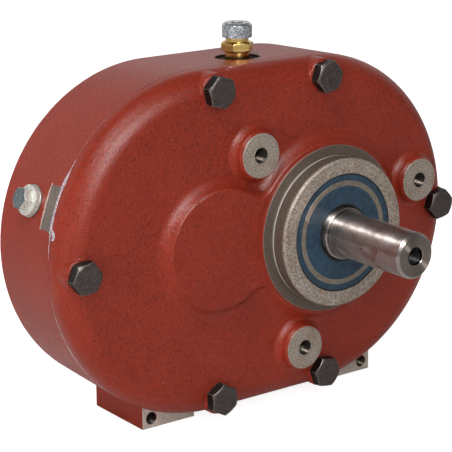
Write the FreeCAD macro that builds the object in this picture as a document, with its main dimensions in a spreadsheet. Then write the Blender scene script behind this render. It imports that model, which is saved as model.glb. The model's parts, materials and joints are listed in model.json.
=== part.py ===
"""Foot-mounted gearbox: two parallel shafts in an obround cast casing of two halves.

Millimetres. +Z is up and +Y runs from the mounting flange into the casing. The origin is on the drive
shaft's axis, in the plane of the mounting flange and its tapped bosses. The pinion shaft lies beside the
drive shaft, towards -X, and leaves the casing at the rear.
"""
import FreeCAD
import Part
import Sketcher
import math
import os
import re

V = FreeCAD.Vector
AXIS_X = V(1, 0, 0)
AXIS_Y = V(0, 1, 0)
AXIS_Z = V(0, 0, 1)

# Driving dimensions: alias, size, and what it measures
SIZES = [
    ("gear_module", 3.0, "module of both gears"),
    ("wheel_teeth", 39, "teeth of the wheel on the drive shaft"),
    ("pinion_teeth", 19, "teeth of the pinion"),
    ("pressure_angle", 20.0, "pressure angle in degrees"),
    ("tooth_thinning", 0.12, "taken off each tooth at the pitch circle, for backlash"),
    ("wheel_width", 30.0, "face width of the wheel"),
    ("pinion_width", 34.0, "face width of the pinion"),
    ("wheel_hub", 31.0, "radius of the wheel's hub"),
    ("wheel_rim", 48.0, "inner radius of the wheel's toothed rim"),
    ("web_recess", 7.0, "depth of the recess in each side of the wheel"),
    ("fit_gap", 0.02, "radial room of a press or locating fit"),
    ("run_gap", 0.05, "radial room of a running fit"),
    ("casing_radius", 114.0, "outer radius of the casing at the joint, about each shaft"),
    ("rim_width", 10.0, "width of the casing's rim at the joint"),
    ("cover_face", 8.0, "depth of the cover's flat face behind the flange plane"),
    ("cover_wall", 9.0, "thickness of the cover's flat wall"),
    ("joint_depth", 28.0, "depth of the cover's back face"),
    ("gasket_thickness", 0.5, "thickness of the sealed joint"),
    ("gasket_inset", 0.3, "how far the seal stays inside the casing's outline"),
    ("housing_length", 65.5, "depth of the rear half"),
    ("rear_wall", 9.0, "thickness of the rear wall"),
    ("draft_angle", 1.85, "casting draft of the rear half in degrees"),
    ("shoulder_radius", 16.0, "rounding of the cover's front edge"),
    ("rear_edge_radius", 4.0, "rounding of the rear half's back edge"),
    ("spigot_radius", 50.0, "radius of the centring spigot"),
    ("spigot_length", 13.5, "length of the centring spigot"),
    ("spigot_chamfer", 1.0, "chamfer of the spigot"),
    ("relief_width", 1.6, "width of the turned relief at the spigot's root"),
    ("relief_depth", 0.6, "depth of that relief"),
    ("flange_radius", 56.5, "outer radius of the machined flange face"),
    ("land_top", 1.5, "depth of the raised land behind the flange plane"),
    ("hub_lobe", 58.5, "radius of the land round the flange"),
    ("bump_lobe", 39.5, "radius of the land over the closed bearing"),
    ("land_blend", 12.0, "radius of the waist between the land's lobes"),
    ("land_slope", 35.0, "slope of the land's sides in degrees"),
    ("land_edge", 1.6, "rounding of the land's top edge"),
    ("land_foot", 10.0, "rounding at the foot of the land"),
    ("boss_radius", 14.5, "radius of a tapped boss's machined face"),
    ("boss_inset", 32.0, "distance of the tapped bosses inside the casing's outline"),
    ("boss_angle", 15.0, "angle of the first tapped boss above +X in degrees"),
    ("boss_count", 3, "number of tapped bosses"),
    ("boss_spread", 1.5, "how much wider a boss is where its foot begins"),
    ("boss_foot", 6.0, "rounding at the foot of a boss"),
    ("foot_sink", 0.25, "how far a rounded foot dips into the wall it stands on"),
    ("tap_radius", 5.1, "core radius of the tapped holes in the bosses and drive shaft"),
    ("boss_tap_depth", 14.0, "depth of the tapped holes in the bosses"),
    ("bolt_inset", 12.0, "distance of each cover bolt inside the casing's outline"),
    ("bolt_radius", 6.0, "radius of a cover bolt's shank"),
    ("bolt_room", 0.75, "room round a cover bolt in the cover"),
    ("bolt_length", 45.0, "length of a cover bolt under its head"),
    ("bolt_flats", 19.0, "width across flats of a cover bolt's head"),
    ("bolt_head", 7.5, "height of a cover bolt's head"),
    ("bolt_pad", 11.5, "radius of the pad under a cover bolt"),
    ("pad_edge", 1.5, "rounding of that pad's edge"),
    ("column_radius", 10.0, "radius of the tapped column that takes a cover bolt"),
    ("column_length", 32.0, "length of that column"),
    ("column_floor", 6.0, "metal below the tapped hole in a column"),
    ("dowel_radius", 2.5, "radius of a dowel pin"),
    ("dowel_length", 16.0, "length of a dowel pin"),
    ("dowel_angle", 45.0, "angle of the dowels off the horizontal in degrees"),
    ("foot_height", 6.0, "height of the feet below the casing"),
    ("foot_width", 41.0, "width of a foot"),
    ("foot_depth", 56.0, "depth of a foot"),
    ("pinion_foot", 47.0, "outer end of the foot beyond the pinion shaft's axis"),
    ("drive_foot", 60.0, "outer end of the foot beyond the drive shaft's axis"),
    ("foot_tap_radius", 4.25, "core radius of the tapped hole in a foot"),
    ("foot_tap_depth", 25.0, "depth of the tapped hole in a foot"),
    ("foot_tap_inset", 7.0, "distance of that hole from the foot's outer end"),
    ("foot_tap_height", 6.7, "height of that hole above the sole"),
    ("seal_width", 10.0, "width of an oil seal"),
    ("seal_recess", 0.5, "how far an oil seal sits inside its bore"),
    ("seal_band", 4.8, "width of the outer band on a seal's face"),
    ("seal_ring_width", 3.6, "width of the bare metal ring in a seal's face"),
    ("seal_ring_depth", 1.2, "thickness of that ring"),
    ("seal_face", 2.8, "thickness of a seal's face"),
    ("seal_wall", 3.0, "thickness of a seal's outer wall"),
    ("seal_lip", 4.5, "height of a seal's lip above the shaft"),
    ("lip_relief", 1.2, "room round the shaft beside a seal's lips"),
    ("lip_depth", 7.0, "depth of the sealing lip behind a seal's face"),
    ("dust_lip_depth", 1.25, "depth of the dust lip behind a seal's face"),
    ("spring_wire", 0.8, "radius of a seal's garter spring"),
    ("clip_space", 3.2, "room along a bore between seal and bearing, for the circlip"),
    ("clip_thickness", 2.5, "thickness of a circlip"),
    ("clip_height", 5.0, "height of a circlip above its bore"),
    ("clip_groove", 1.5, "depth of a circlip's groove"),
    ("clip_opening", 40.0, "angle that a circlip leaves open in degrees"),
    ("bearing_hub", 10.0, "wall round a bearing's bore"),
    ("bearing_overhang", 0.8, "how far a bearing's bore runs past the bearing"),
    ("closed_wall", 7.5, "wall in front of the pinion shaft's closed bearing"),
    ("end_relief", 1.5, "depth of the hollow in front of a closed bearing's inner ring"),
    ("drive_journal", 17.5, "radius of the drive shaft in its bearings and seal"),
    ("drive_outer", 40.0, "outer radius of the drive shaft's bearings and seal"),
    ("drive_width", 21.0, "width of the drive shaft's bearings"),
    ("drive_ball", 6.75, "radius of their balls"),
    ("drive_balls", 8, "number of balls in each"),
    ("drive_groove", 4.0, "half the gap between their rings"),
    ("pinion_journal", 15.0, "radius of the pinion shaft in its bearings and seal"),
    ("pinion_outer", 31.0, "outer radius of the pinion shaft's bearings and seal"),
    ("pinion_bearing", 16.0, "width of the pinion shaft's bearings"),
    ("pinion_ball", 4.76, "radius of their balls"),
    ("pinion_balls", 9, "number of balls in each"),
    ("pinion_groove", 2.9, "half the gap between their rings"),
    ("ring_chamfer", 1.0, "chamfer of a bearing ring's seat"),
    ("ball_pocket", 0.2, "room round a ball in its cage"),
    ("cage_wall", 1.6, "wall of a cage beside a ball, along the shaft"),
    ("cage_gap", 1.4, "room between a cage and the rings"),
    ("drive_end", 15.0, "radius of the drive shaft's outer end"),
    ("drive_extension", 70.0, "length of the drive shaft in front of the spigot"),
    ("pinion_end", 14.0, "radius of the pinion shaft's outer end"),
    ("pinion_extension", 60.0, "length of the pinion shaft behind its boss"),
    ("journal_proud", 3.0, "how far a seal's journal stands out of the casing"),
    ("end_chamfer", 1.6, "chamfer of a shaft's end"),
    ("step_chamfer", 0.8, "chamfer of a shaft's step"),
    ("centre_depth", 28.0, "depth of the tapped hole in a shaft's end"),
    ("centre_mouth", 1.3, "countersink of that hole"),
    ("pinion_tap", 4.25, "core radius of the tapped hole in the pinion shaft's end"),
    ("drive_collar", 23.0, "radius of the collar between bearing and wheel"),
    ("collar_length", 9.5, "length of that collar"),
    ("wheel_seat", 20.0, "radius of the drive shaft in the wheel"),
    ("pinion_shoulder", 18.5, "radius of the pinion shaft beside the pinion"),
    ("wheel_key_width", 12.0, "width of the wheel's key"),
    ("wheel_key_height", 8.0, "height of the wheel's key"),
    ("wheel_key_seat", 5.0, "depth of its seat in the shaft"),
    ("wheel_key_length", 26.0, "length of the wheel's key"),
    ("key_room", 0.2, "room above the wheel's key"),
    ("spacer_radius", 24.0, "outer radius of the spacer behind the wheel"),
    ("end_key_width", 8.0, "width of the keyway in each shaft end"),
    ("end_key_depth", 4.0, "depth of the keyway in each shaft end"),
    ("end_key_length", 42.0, "length of the keyway in each shaft end"),
    ("end_key_inset", 8.0, "distance of the keyway from the shaft's end"),
    ("rear_boss_proud", 11.0, "height of the pinion shaft's boss on the rear wall"),
    ("rear_boss_wall", 12.0, "wall of that boss round its bore"),
    ("rear_bump_proud", 7.0, "height of the closed bearing boss on the rear wall"),
    ("rear_bump_radius", 46.0, "radius of the closed bearing boss"),
    ("port_angle", 160.3, "angle of the side plug about the pinion shaft, above +X, in degrees"),
    ("port_depth", 29.5, "depth of the side plug behind the joint"),
    ("port_sink", 1.6, "depth of the side plug's seat inside the casing's outline"),
    ("port_seat", 12.0, "radius of the side plug's spot face"),
    ("flat_sink", 1.4, "depth of the milled flat inside the casing's outline"),
    ("flat_height", 29.0, "height of the milled flat"),
    ("flat_depth", 13.5, "depth of the milled flat behind the joint"),
    ("plug_thread", 7.0, "radius of the side plug's thread"),
    ("plug_length", 13.0, "length of that thread under the collar"),
    ("plug_collar", 9.8, "radius of the side plug's collar"),
    ("plug_collar_height", 3.0, "height of that collar"),
    ("plug_flats", 13.0, "width across flats of the side plug"),
    ("plug_head", 6.5, "height of the side plug's hexagon"),
    ("washer_radius", 10.5, "outer radius of the sealing washer"),
    ("washer_thickness", 1.5, "thickness of the sealing washer"),
    ("breather_offset", 40.6, "distance of the breather from the drive shaft, towards the pinion shaft"),
    ("breather_depth", 20.0, "depth of the breather behind the joint"),
    ("seat_sink", 3.0, "depth of the breather's spot face inside the casing's outline"),
    ("seat_radius", 15.0, "radius of the breather's spot face"),
    ("breather_thread", 6.6, "radius of the breather's thread"),
    ("breather_stem", 11.0, "length of the breather's thread"),
    ("breather_foot", 8.2, "radius of the breather's foot"),
    ("breather_foot_height", 6.2, "height of the breather's foot"),
    ("breather_flats", 19.0, "width across flats of the breather's hexagon"),
    ("breather_hexagon", 6.6, "height of the breather's hexagon"),
    ("breather_neck", 7.5, "radius of the breather's neck"),
    ("breather_neck_height", 2.9, "height of the neck that shows under the cap"),
    ("breather_spout", 5.0, "height of the neck inside the cap"),
    ("breather_bore", 2.5, "radius of the vent through the breather"),
    ("cap_radius", 9.9, "outer radius of the breather's cap"),
    ("cap_height", 9.5, "height of the breather's cap"),
    ("cap_edge", 1.6, "bevel of the cap's upper edge"),
    ("cap_crown", 0.6, "height of the raised disc on the cap"),
    ("cap_crown_radius", 4.5, "radius of the raised disc on the cap"),
    ("drain_radius", 8.0, "radius of the drain plug"),
    ("drain_length", 9.0, "length of the drain plug"),
    ("drain_depth", 31.5, "depth of the drain plug behind the joint"),
    ("drain_sink", 1.6, "depth of the drain plug's face inside the casing's outline"),
    ("drain_flats", 8.0, "width across flats of the drain plug's socket"),
    ("drain_socket", 5.0, "depth of the drain plug's socket"),
    ("plug_chamfer", 1.0, "chamfer of a plug's thread"),
]
ALIASES = {alias for alias, size, meaning in SIZES}

doc = FreeCAD.newDocument("gearbox")
sheet = doc.addObject("Spreadsheet::Sheet", "dims")
for row, (alias, size, meaning) in enumerate(SIZES, start=1):
    sheet.set(f"A{row}", meaning)
    sheet.set(f"B{row}", str(size))
    sheet.setAlias(f"B{row}", alias)
doc.recompute()

# Places worked out from the driving dimensions
CENTRES = "(gear_module * (wheel_teeth + pinion_teeth) / 2)"
HOUSING_FRONT = "(joint_depth + gasket_thickness)"
HOUSING_REAR = f"({HOUSING_FRONT} + housing_length)"
SPIGOT_FRONT = "(-spigot_length)"
DRIVE_SEAL = f"({SPIGOT_FRONT} + seal_recess)"
DRIVE_CLIP = f"({DRIVE_SEAL} + seal_width + (clip_space - clip_thickness) / 2)"
DRIVE_FRONT_BEARING = f"({DRIVE_SEAL} + seal_width + clip_space)"
COLLAR_FRONT = f"({DRIVE_FRONT_BEARING} + drive_width)"
WHEEL_FRONT = f"({COLLAR_FRONT} + collar_length)"
WHEEL_BACK = f"({WHEEL_FRONT} + wheel_width)"
DRIVE_REAR_SEAT = f"({HOUSING_REAR} + rear_bump_proud - closed_wall - end_relief)"
DRIVE_REAR_BEARING = f"({DRIVE_REAR_SEAT} - drive_width)"
PINION_FRONT = f"({WHEEL_FRONT} - (pinion_width - wheel_width) / 2)"
PINION_BACK = f"({PINION_FRONT} + pinion_width)"
PINION_FRONT_BEARING = "(land_top + closed_wall)"
REAR_BOSS = f"({HOUSING_REAR} + rear_boss_proud)"
PINION_SEAL = f"({REAR_BOSS} - seal_recess)"
PINION_CLIP = f"({PINION_SEAL} - seal_width - (clip_space + clip_thickness) / 2)"
PINION_REAR_BEARING = f"({PINION_SEAL} - seal_width - clip_space - pinion_bearing)"
DRIVE_TIP = f"({SPIGOT_FRONT} - drive_extension)"
PINION_TIP = f"({REAR_BOSS} + pinion_extension)"
CAVITY_RADIUS = "(casing_radius - rim_width)"
RIM_MIDDLE = "(casing_radius - rim_width / 2)"
BOSS_CIRCLE = "(casing_radius - boss_inset)"
BOLT_CIRCLE = "(casing_radius - bolt_inset)"
SOLE = "(-casing_radius - foot_height)"
PORT_REACH = "(casing_radius - port_sink)"
PORT_DEPTH = f"({HOUSING_FRONT} + port_depth)"
BREATHER_SEAT = "(casing_radius - seat_sink)"
BREATHER_DEPTH = f"({HOUSING_FRONT} + breather_depth)"
DRAIN_DEPTH = f"({HOUSING_FRONT} + drain_depth)"
DOWELS = [
    (f"{RIM_MIDDLE} * cos(dowel_angle * 1deg)", f"{RIM_MIDDLE} * sin(dowel_angle * 1deg)"),
    (f"-{CENTRES} - {RIM_MIDDLE} * cos(dowel_angle * 1deg)", f"-{RIM_MIDDLE} * sin(dowel_angle * 1deg)"),
]
BOLTS = [
    ("0", BOLT_CIRCLE),
    ("0", f"-{BOLT_CIRCLE}"),
    (BOLT_CIRCLE, "0"),
    (f"-{CENTRES}", BOLT_CIRCLE),
    (f"-{CENTRES}", f"-{BOLT_CIRCLE}"),
    (f"-{CENTRES} - {BOLT_CIRCLE}", "0"),
]
# How far each bolt's head happens to be turned, in degrees
BOLT_TURNS = [11, 52, 12, 44, 32, 6]
PLUG_TURN = 30
BREATHER_TURN = 39
FOOT_TAPS = [
    (f"-{CENTRES} - pinion_foot + foot_tap_inset", f"{SOLE} + foot_tap_height"),
    ("drive_foot - foot_tap_inset", f"{SOLE} + foot_tap_height"),
]
# A hexagon's corners are bevelled at this angle, down to a disc of this share of its flats
HEXAGON_CHAMFER = 30.0
HEXAGON_FACE = 0.92
# Depth of a tooth's root below the pitch circle, in modules, and the steps along a flank
DEDENDUM = 1.25
FLANK_STEPS = 5
# A cut starts this far outside the metal
CUT_MARGIN = 1.0
SAME_PLACE = 1e-4
FULL_TURN = 360.0


def formula(text):
    """The same formula with each driving dimension named by its sheet."""
    return re.sub(r"[a-z_]+", lambda name: "dims." + name[0] if name[0] in ALIASES else name[0], text)


def value(text):
    return float(sheet.evalExpression(formula(text)))


def bind(thing, **formulas):
    for name, text in formulas.items():
        thing.setExpression(name, formula(text))


def place(thing, x="0", y="0", z="0"):
    for axis, text in zip("xyz", (x, y, z)):
        thing.setExpression(f"Placement.Base.{axis}", formula(text))


def turn_about_y(thing, which, angle):
    """Turns a placement about Y by a formula, which takes over from the first small turn."""
    setattr(thing, which, FreeCAD.Placement(V(0, 0, 0), FreeCAD.Rotation(AXIS_Y, 1)))
    bind(thing, **{f"{which}.Rotation.Angle": angle})


def lay_along_y(thing):
    """Turns a piece that stands along +Z to point along +Y."""
    thing.Placement = FreeCAD.Placement(V(0, 0, 0), FreeCAD.Rotation(AXIS_X, -90))


def new_body(label):
    body = doc.addObject("PartDesign::Body", label)
    body.Label = label
    return body


def origin_feature(body, role):
    return next(feature for feature in body.Origin.OriginFeatures if feature.Role == role)


def new_sketch(body, name, plane, offset="0"):
    """A sketch on one of the body's planes, offset along that plane's normal."""
    sketch = body.newObject("Sketcher::SketchObject", name)
    sketch.AttachmentSupport = [(origin_feature(body, plane), "")]
    sketch.MapMode = "FlatFace"
    sketch.setExpression("AttachmentOffset.Base.z", formula(offset))
    return sketch


def upright(body, name, depth):
    """A sketch that faces the front, at a depth along +Y. Its axes are X and Z."""
    return new_sketch(body, name, "XZ_Plane", f"-({depth})")


def datum(sketch, text, kind, *ends):
    """A dimension of a sketch that follows a formula."""
    index = sketch.addConstraint(Sketcher.Constraint(kind, *ends, value(text)))
    sketch.setExpression(f"Constraints[{index}]", formula(text))


def fix_point(sketch, curve, end, across, along):
    for text, kind, axis in ((across, "DistanceX", -2), (along, "DistanceY", -1)):
        if text == "0":
            sketch.addConstraint(Sketcher.Constraint("PointOnObject", curve, end, axis))
        else:
            datum(sketch, text, kind, -1, 1, curve, end)


def draw_polygon(sketch, corners):
    """A closed outline of straight lines through corners given as formulas."""
    spots = [V(value(across), value(along), 0) for across, along in corners]
    first = sketch.GeometryCount
    for start, end in zip(spots, spots[1:] + spots[:1]):
        sketch.addGeometry(Part.LineSegment(start, end))
    for step, (across, along) in enumerate(corners):
        after = first + (step + 1) % len(corners)
        sketch.addConstraint(Sketcher.Constraint("Coincident", first + step, 2, after, 1))
        fix_point(sketch, first + step, 1, across, along)


def draw_circle(sketch, across, along, radius):
    circle = Part.Circle(V(value(across), value(along), 0), AXIS_Z, value(radius))
    index = sketch.addGeometry(circle)
    fix_point(sketch, index, 3, across, along)
    datum(sketch, radius, "Radius", index)


def add_arc(sketch, middle, radius, start, end):
    return sketch.addGeometry(Part.ArcOfCircle(Part.Circle(middle, AXIS_Z, radius), start, end))


def draw_slot(sketch, start, end, radius):
    """An outline with round ends about two centres."""
    here, there = [V(value(across), value(along), 0) for across, along in (start, end)]
    way = math.atan2(there.y - here.y, there.x - here.x)
    quarter = math.pi / 2
    size = value(radius)
    side = V(-math.sin(way), math.cos(way), 0) * size
    first = add_arc(sketch, here, size, way + quarter, way + 3 * quarter)
    right = sketch.addGeometry(Part.LineSegment(here - side, there - side))
    last = add_arc(sketch, there, size, way - quarter, way + quarter)
    left = sketch.addGeometry(Part.LineSegment(there + side, here + side))
    for one, other in ((first, right), (right, last), (last, left), (left, first)):
        sketch.addConstraint(Sketcher.Constraint("Tangent", one, 2, other, 1))
    fix_point(sketch, first, 3, *start)
    fix_point(sketch, last, 3, *end)
    datum(sketch, radius, "Radius", first)
    sketch.addConstraint(Sketcher.Constraint("Equal", first, last))


def draw_waisted(sketch, hub, bump, waist):
    """The land's outline: a lobe about each shaft and a hollow waist between them."""
    a, big, small, hollow = value(CENTRES), value(hub), value(bump), value(waist)
    from_hub, from_bump = big + hollow, small + hollow
    across = -(a * a + from_hub ** 2 - from_bump ** 2) / (2 * a)
    along = math.sqrt(from_hub ** 2 - across ** 2)
    lean_hub = math.atan2(along, across)
    lean_bump = math.atan2(along, across + a)
    hub_arc = add_arc(sketch, V(0, 0, 0), big, -lean_hub, lean_hub)
    upper = add_arc(sketch, V(across, along, 0), hollow, lean_bump + math.pi, lean_hub + math.pi)
    bump_arc = add_arc(sketch, V(-a, 0, 0), small, lean_bump, 2 * math.pi - lean_bump)
    lower = add_arc(sketch, V(across, -along, 0), hollow, math.pi - lean_hub, math.pi - lean_bump)
    for one, one_end, other, other_end in (
        (hub_arc, 2, upper, 2), (upper, 1, bump_arc, 1), (bump_arc, 2, lower, 2), (lower, 1, hub_arc, 1)
    ):
        sketch.addConstraint(Sketcher.Constraint("Tangent", one, one_end, other, other_end))
    fix_point(sketch, hub_arc, 3, "0", "0")
    fix_point(sketch, bump_arc, 3, f"-{CENTRES}", "0")
    datum(sketch, hub, "Radius", hub_arc)
    datum(sketch, bump, "Radius", bump_arc)
    datum(sketch, waist, "Radius", upper)
    sketch.addConstraint(Sketcher.Constraint("Equal", upper, lower))


def casing_outline(sketch, radius):
    draw_slot(sketch, (f"-{CENTRES}", "0"), ("0", "0"), radius)


def feature(body, kind, name, sketch):
    made = body.newObject(f"PartDesign::{kind}", name)
    made.Profile = sketch
    return made


def pad(body, name, sketch, length, reverse=False):
    made = feature(body, "Pad", name, sketch)
    bind(made, Length=length)
    made.Reversed = reverse
    return made


def pocket(body, name, sketch, length, reverse=False):
    made = feature(body, "Pocket", name, sketch)
    bind(made, Length=length)
    made.Reversed = reverse
    return made


def revolve(body, kind, name, sketch, axis="V_Axis"):
    made = feature(body, kind, name, sketch)
    made.ReferenceAxis = (sketch, [axis])
    made.Angle = FULL_TURN
    return made


def polar(body, name, originals, count, axis="Y_Axis"):
    made = body.newObject("PartDesign::PolarPattern", name)
    made.Originals = originals
    made.Axis = (origin_feature(body, axis), [""])
    made.Angle = FULL_TURN
    bind(made, Occurrences=count)
    body.Tip = made
    return made


def round_edges(body, name, base, radius, wanted):
    """Rounds the edges of the last feature whose every corner and middle pass a test."""
    doc.recompute()
    names = []
    for index, edge in enumerate(base.Shape.Edges, start=1):
        middle = edge.valueAt((edge.FirstParameter + edge.LastParameter) / 2)
        if all(wanted(spot) for spot in [middle] + [vertex.Point for vertex in edge.Vertexes]):
            names.append(f"Edge{index}")
    made = body.newObject("PartDesign::Fillet", name)
    made.Base = (base, names)
    bind(made, Radius=radius)
    return made


def turned(label, corners, plane="XY_Plane"):
    """A piece turned about the body's own Y axis, or about Z when its profile is on the XZ plane."""
    body = new_body(label)
    profile = new_sketch(body, f"{label}_profile", plane)
    draw_polygon(profile, corners)
    revolve(body, "Revolution", f"{label}_turning", profile)
    return body


def tube(label, inner, outer, start, end):
    return turned(label, [(inner, start), (outer, start), (outer, end), (inner, end)])


def on_pinion_axis(body):
    place(body, x=f"-{CENTRES}")
    return body


def shaft_distance(spot):
    """How far a place is from the nearer shaft axis."""
    return min(math.hypot(spot.x, spot.z), math.hypot(spot.x + value(CENTRES), spot.z))


def near(one, other):
    return abs(one - other) < SAME_PLACE


def footed_boss(body, name, sketch, centre, top, top_radius, wall, behind):
    """A round boss whose foot runs out in a hollow curve into the wall behind it, or before it."""
    sign = "" if behind else "-"
    foot_start = f"({wall} + ({sign}1) * (foot_sink - boss_foot))"
    foot_end = f"({wall} + ({sign}1) * foot_sink)"
    side = f"({top_radius} + boss_spread)"
    corners = [
        (centre, top),
        (f"{centre} + {top_radius}", top),
        (f"{centre} + {side}", foot_start),
        (f"{centre} + {side} + boss_foot", foot_end),
        (centre, foot_end),
    ]
    spots = [V(value(across), value(along), 0) for across, along in corners]
    top_line = sketch.addGeometry(Part.LineSegment(spots[0], spots[1]))
    side_line = sketch.addGeometry(Part.LineSegment(spots[1], spots[2]))
    hollow = V(spots[3].x, spots[2].y, 0)
    turns = (math.pi / 2, math.pi) if behind else (math.pi, 3 * math.pi / 2)
    foot = add_arc(sketch, hollow, value("boss_foot"), *turns)
    floor = sketch.addGeometry(Part.LineSegment(spots[3], spots[4]))
    axis = sketch.addGeometry(Part.LineSegment(spots[4], spots[0]))
    outer, inner = (1, 2) if behind else (2, 1)
    joins = [
        (top_line, 2, side_line, 1),
        (side_line, 2, foot, inner),
        (foot, outer, floor, 1),
        (floor, 2, axis, 1),
        (axis, 2, top_line, 1),
    ]
    for join in joins:
        sketch.addConstraint(Sketcher.Constraint("Coincident", *join))
    for line, corner in ((top_line, 0), (side_line, 1), (floor, 3), (axis, 4)):
        fix_point(sketch, line, 1, *corners[corner])
    fix_point(sketch, side_line, 2, *corners[2])
    datum(sketch, "boss_foot", "Radius", foot)
    return revolve(body, "Revolution", name, sketch, f"Edge{axis + 1}")


def drilled(sketch, centre, radius, depth):
    """The half section of a hole drilled from the flange plane about a line. Gives its axis."""
    draw_polygon(sketch, [
        (centre, "0"),
        (f"{centre} + {radius}", "0"),
        (f"{centre} + {radius}", depth),
        (centre, f"{depth} + {radius} / 2"),
    ])
    return "Edge4"


def rounded_pad(body, name, across, along):
    """A round pad under a bolt's head, with a rounded edge, that stands on the joint."""
    sketch = new_sketch(body, f"{name}_profile", "XY_Plane", along)
    side = f"{across} + bolt_pad"
    corners = [
        (across, "joint_depth"),
        (side, "joint_depth"),
        (side, "cover_face + pad_edge"),
        (f"{side} - pad_edge", "cover_face"),
        (across, "cover_face"),
    ]
    spots = [V(value(x), value(y), 0) for x, y in corners]
    base = sketch.addGeometry(Part.LineSegment(spots[0], spots[1]))
    wall = sketch.addGeometry(Part.LineSegment(spots[1], spots[2]))
    edge = add_arc(sketch, V(spots[3].x, spots[2].y, 0), value("pad_edge"), -math.pi / 2, 0)
    top = sketch.addGeometry(Part.LineSegment(spots[3], spots[4]))
    axis = sketch.addGeometry(Part.LineSegment(spots[4], spots[0]))
    turns = [(base, 2, wall, 1), (wall, 2, edge, 2), (edge, 1, top, 1)]
    for join in turns + [(top, 2, axis, 1), (axis, 2, base, 1)]:
        sketch.addConstraint(Sketcher.Constraint("Coincident", *join))
    for line, corner in ((base, 0), (wall, 1), (top, 3), (axis, 4)):
        fix_point(sketch, line, 1, *corners[corner])
    fix_point(sketch, wall, 2, *corners[2])
    datum(sketch, "pad_edge", "Radius", edge)
    return revolve(body, "Revolution", name, sketch, f"Edge{axis + 1}")


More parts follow.
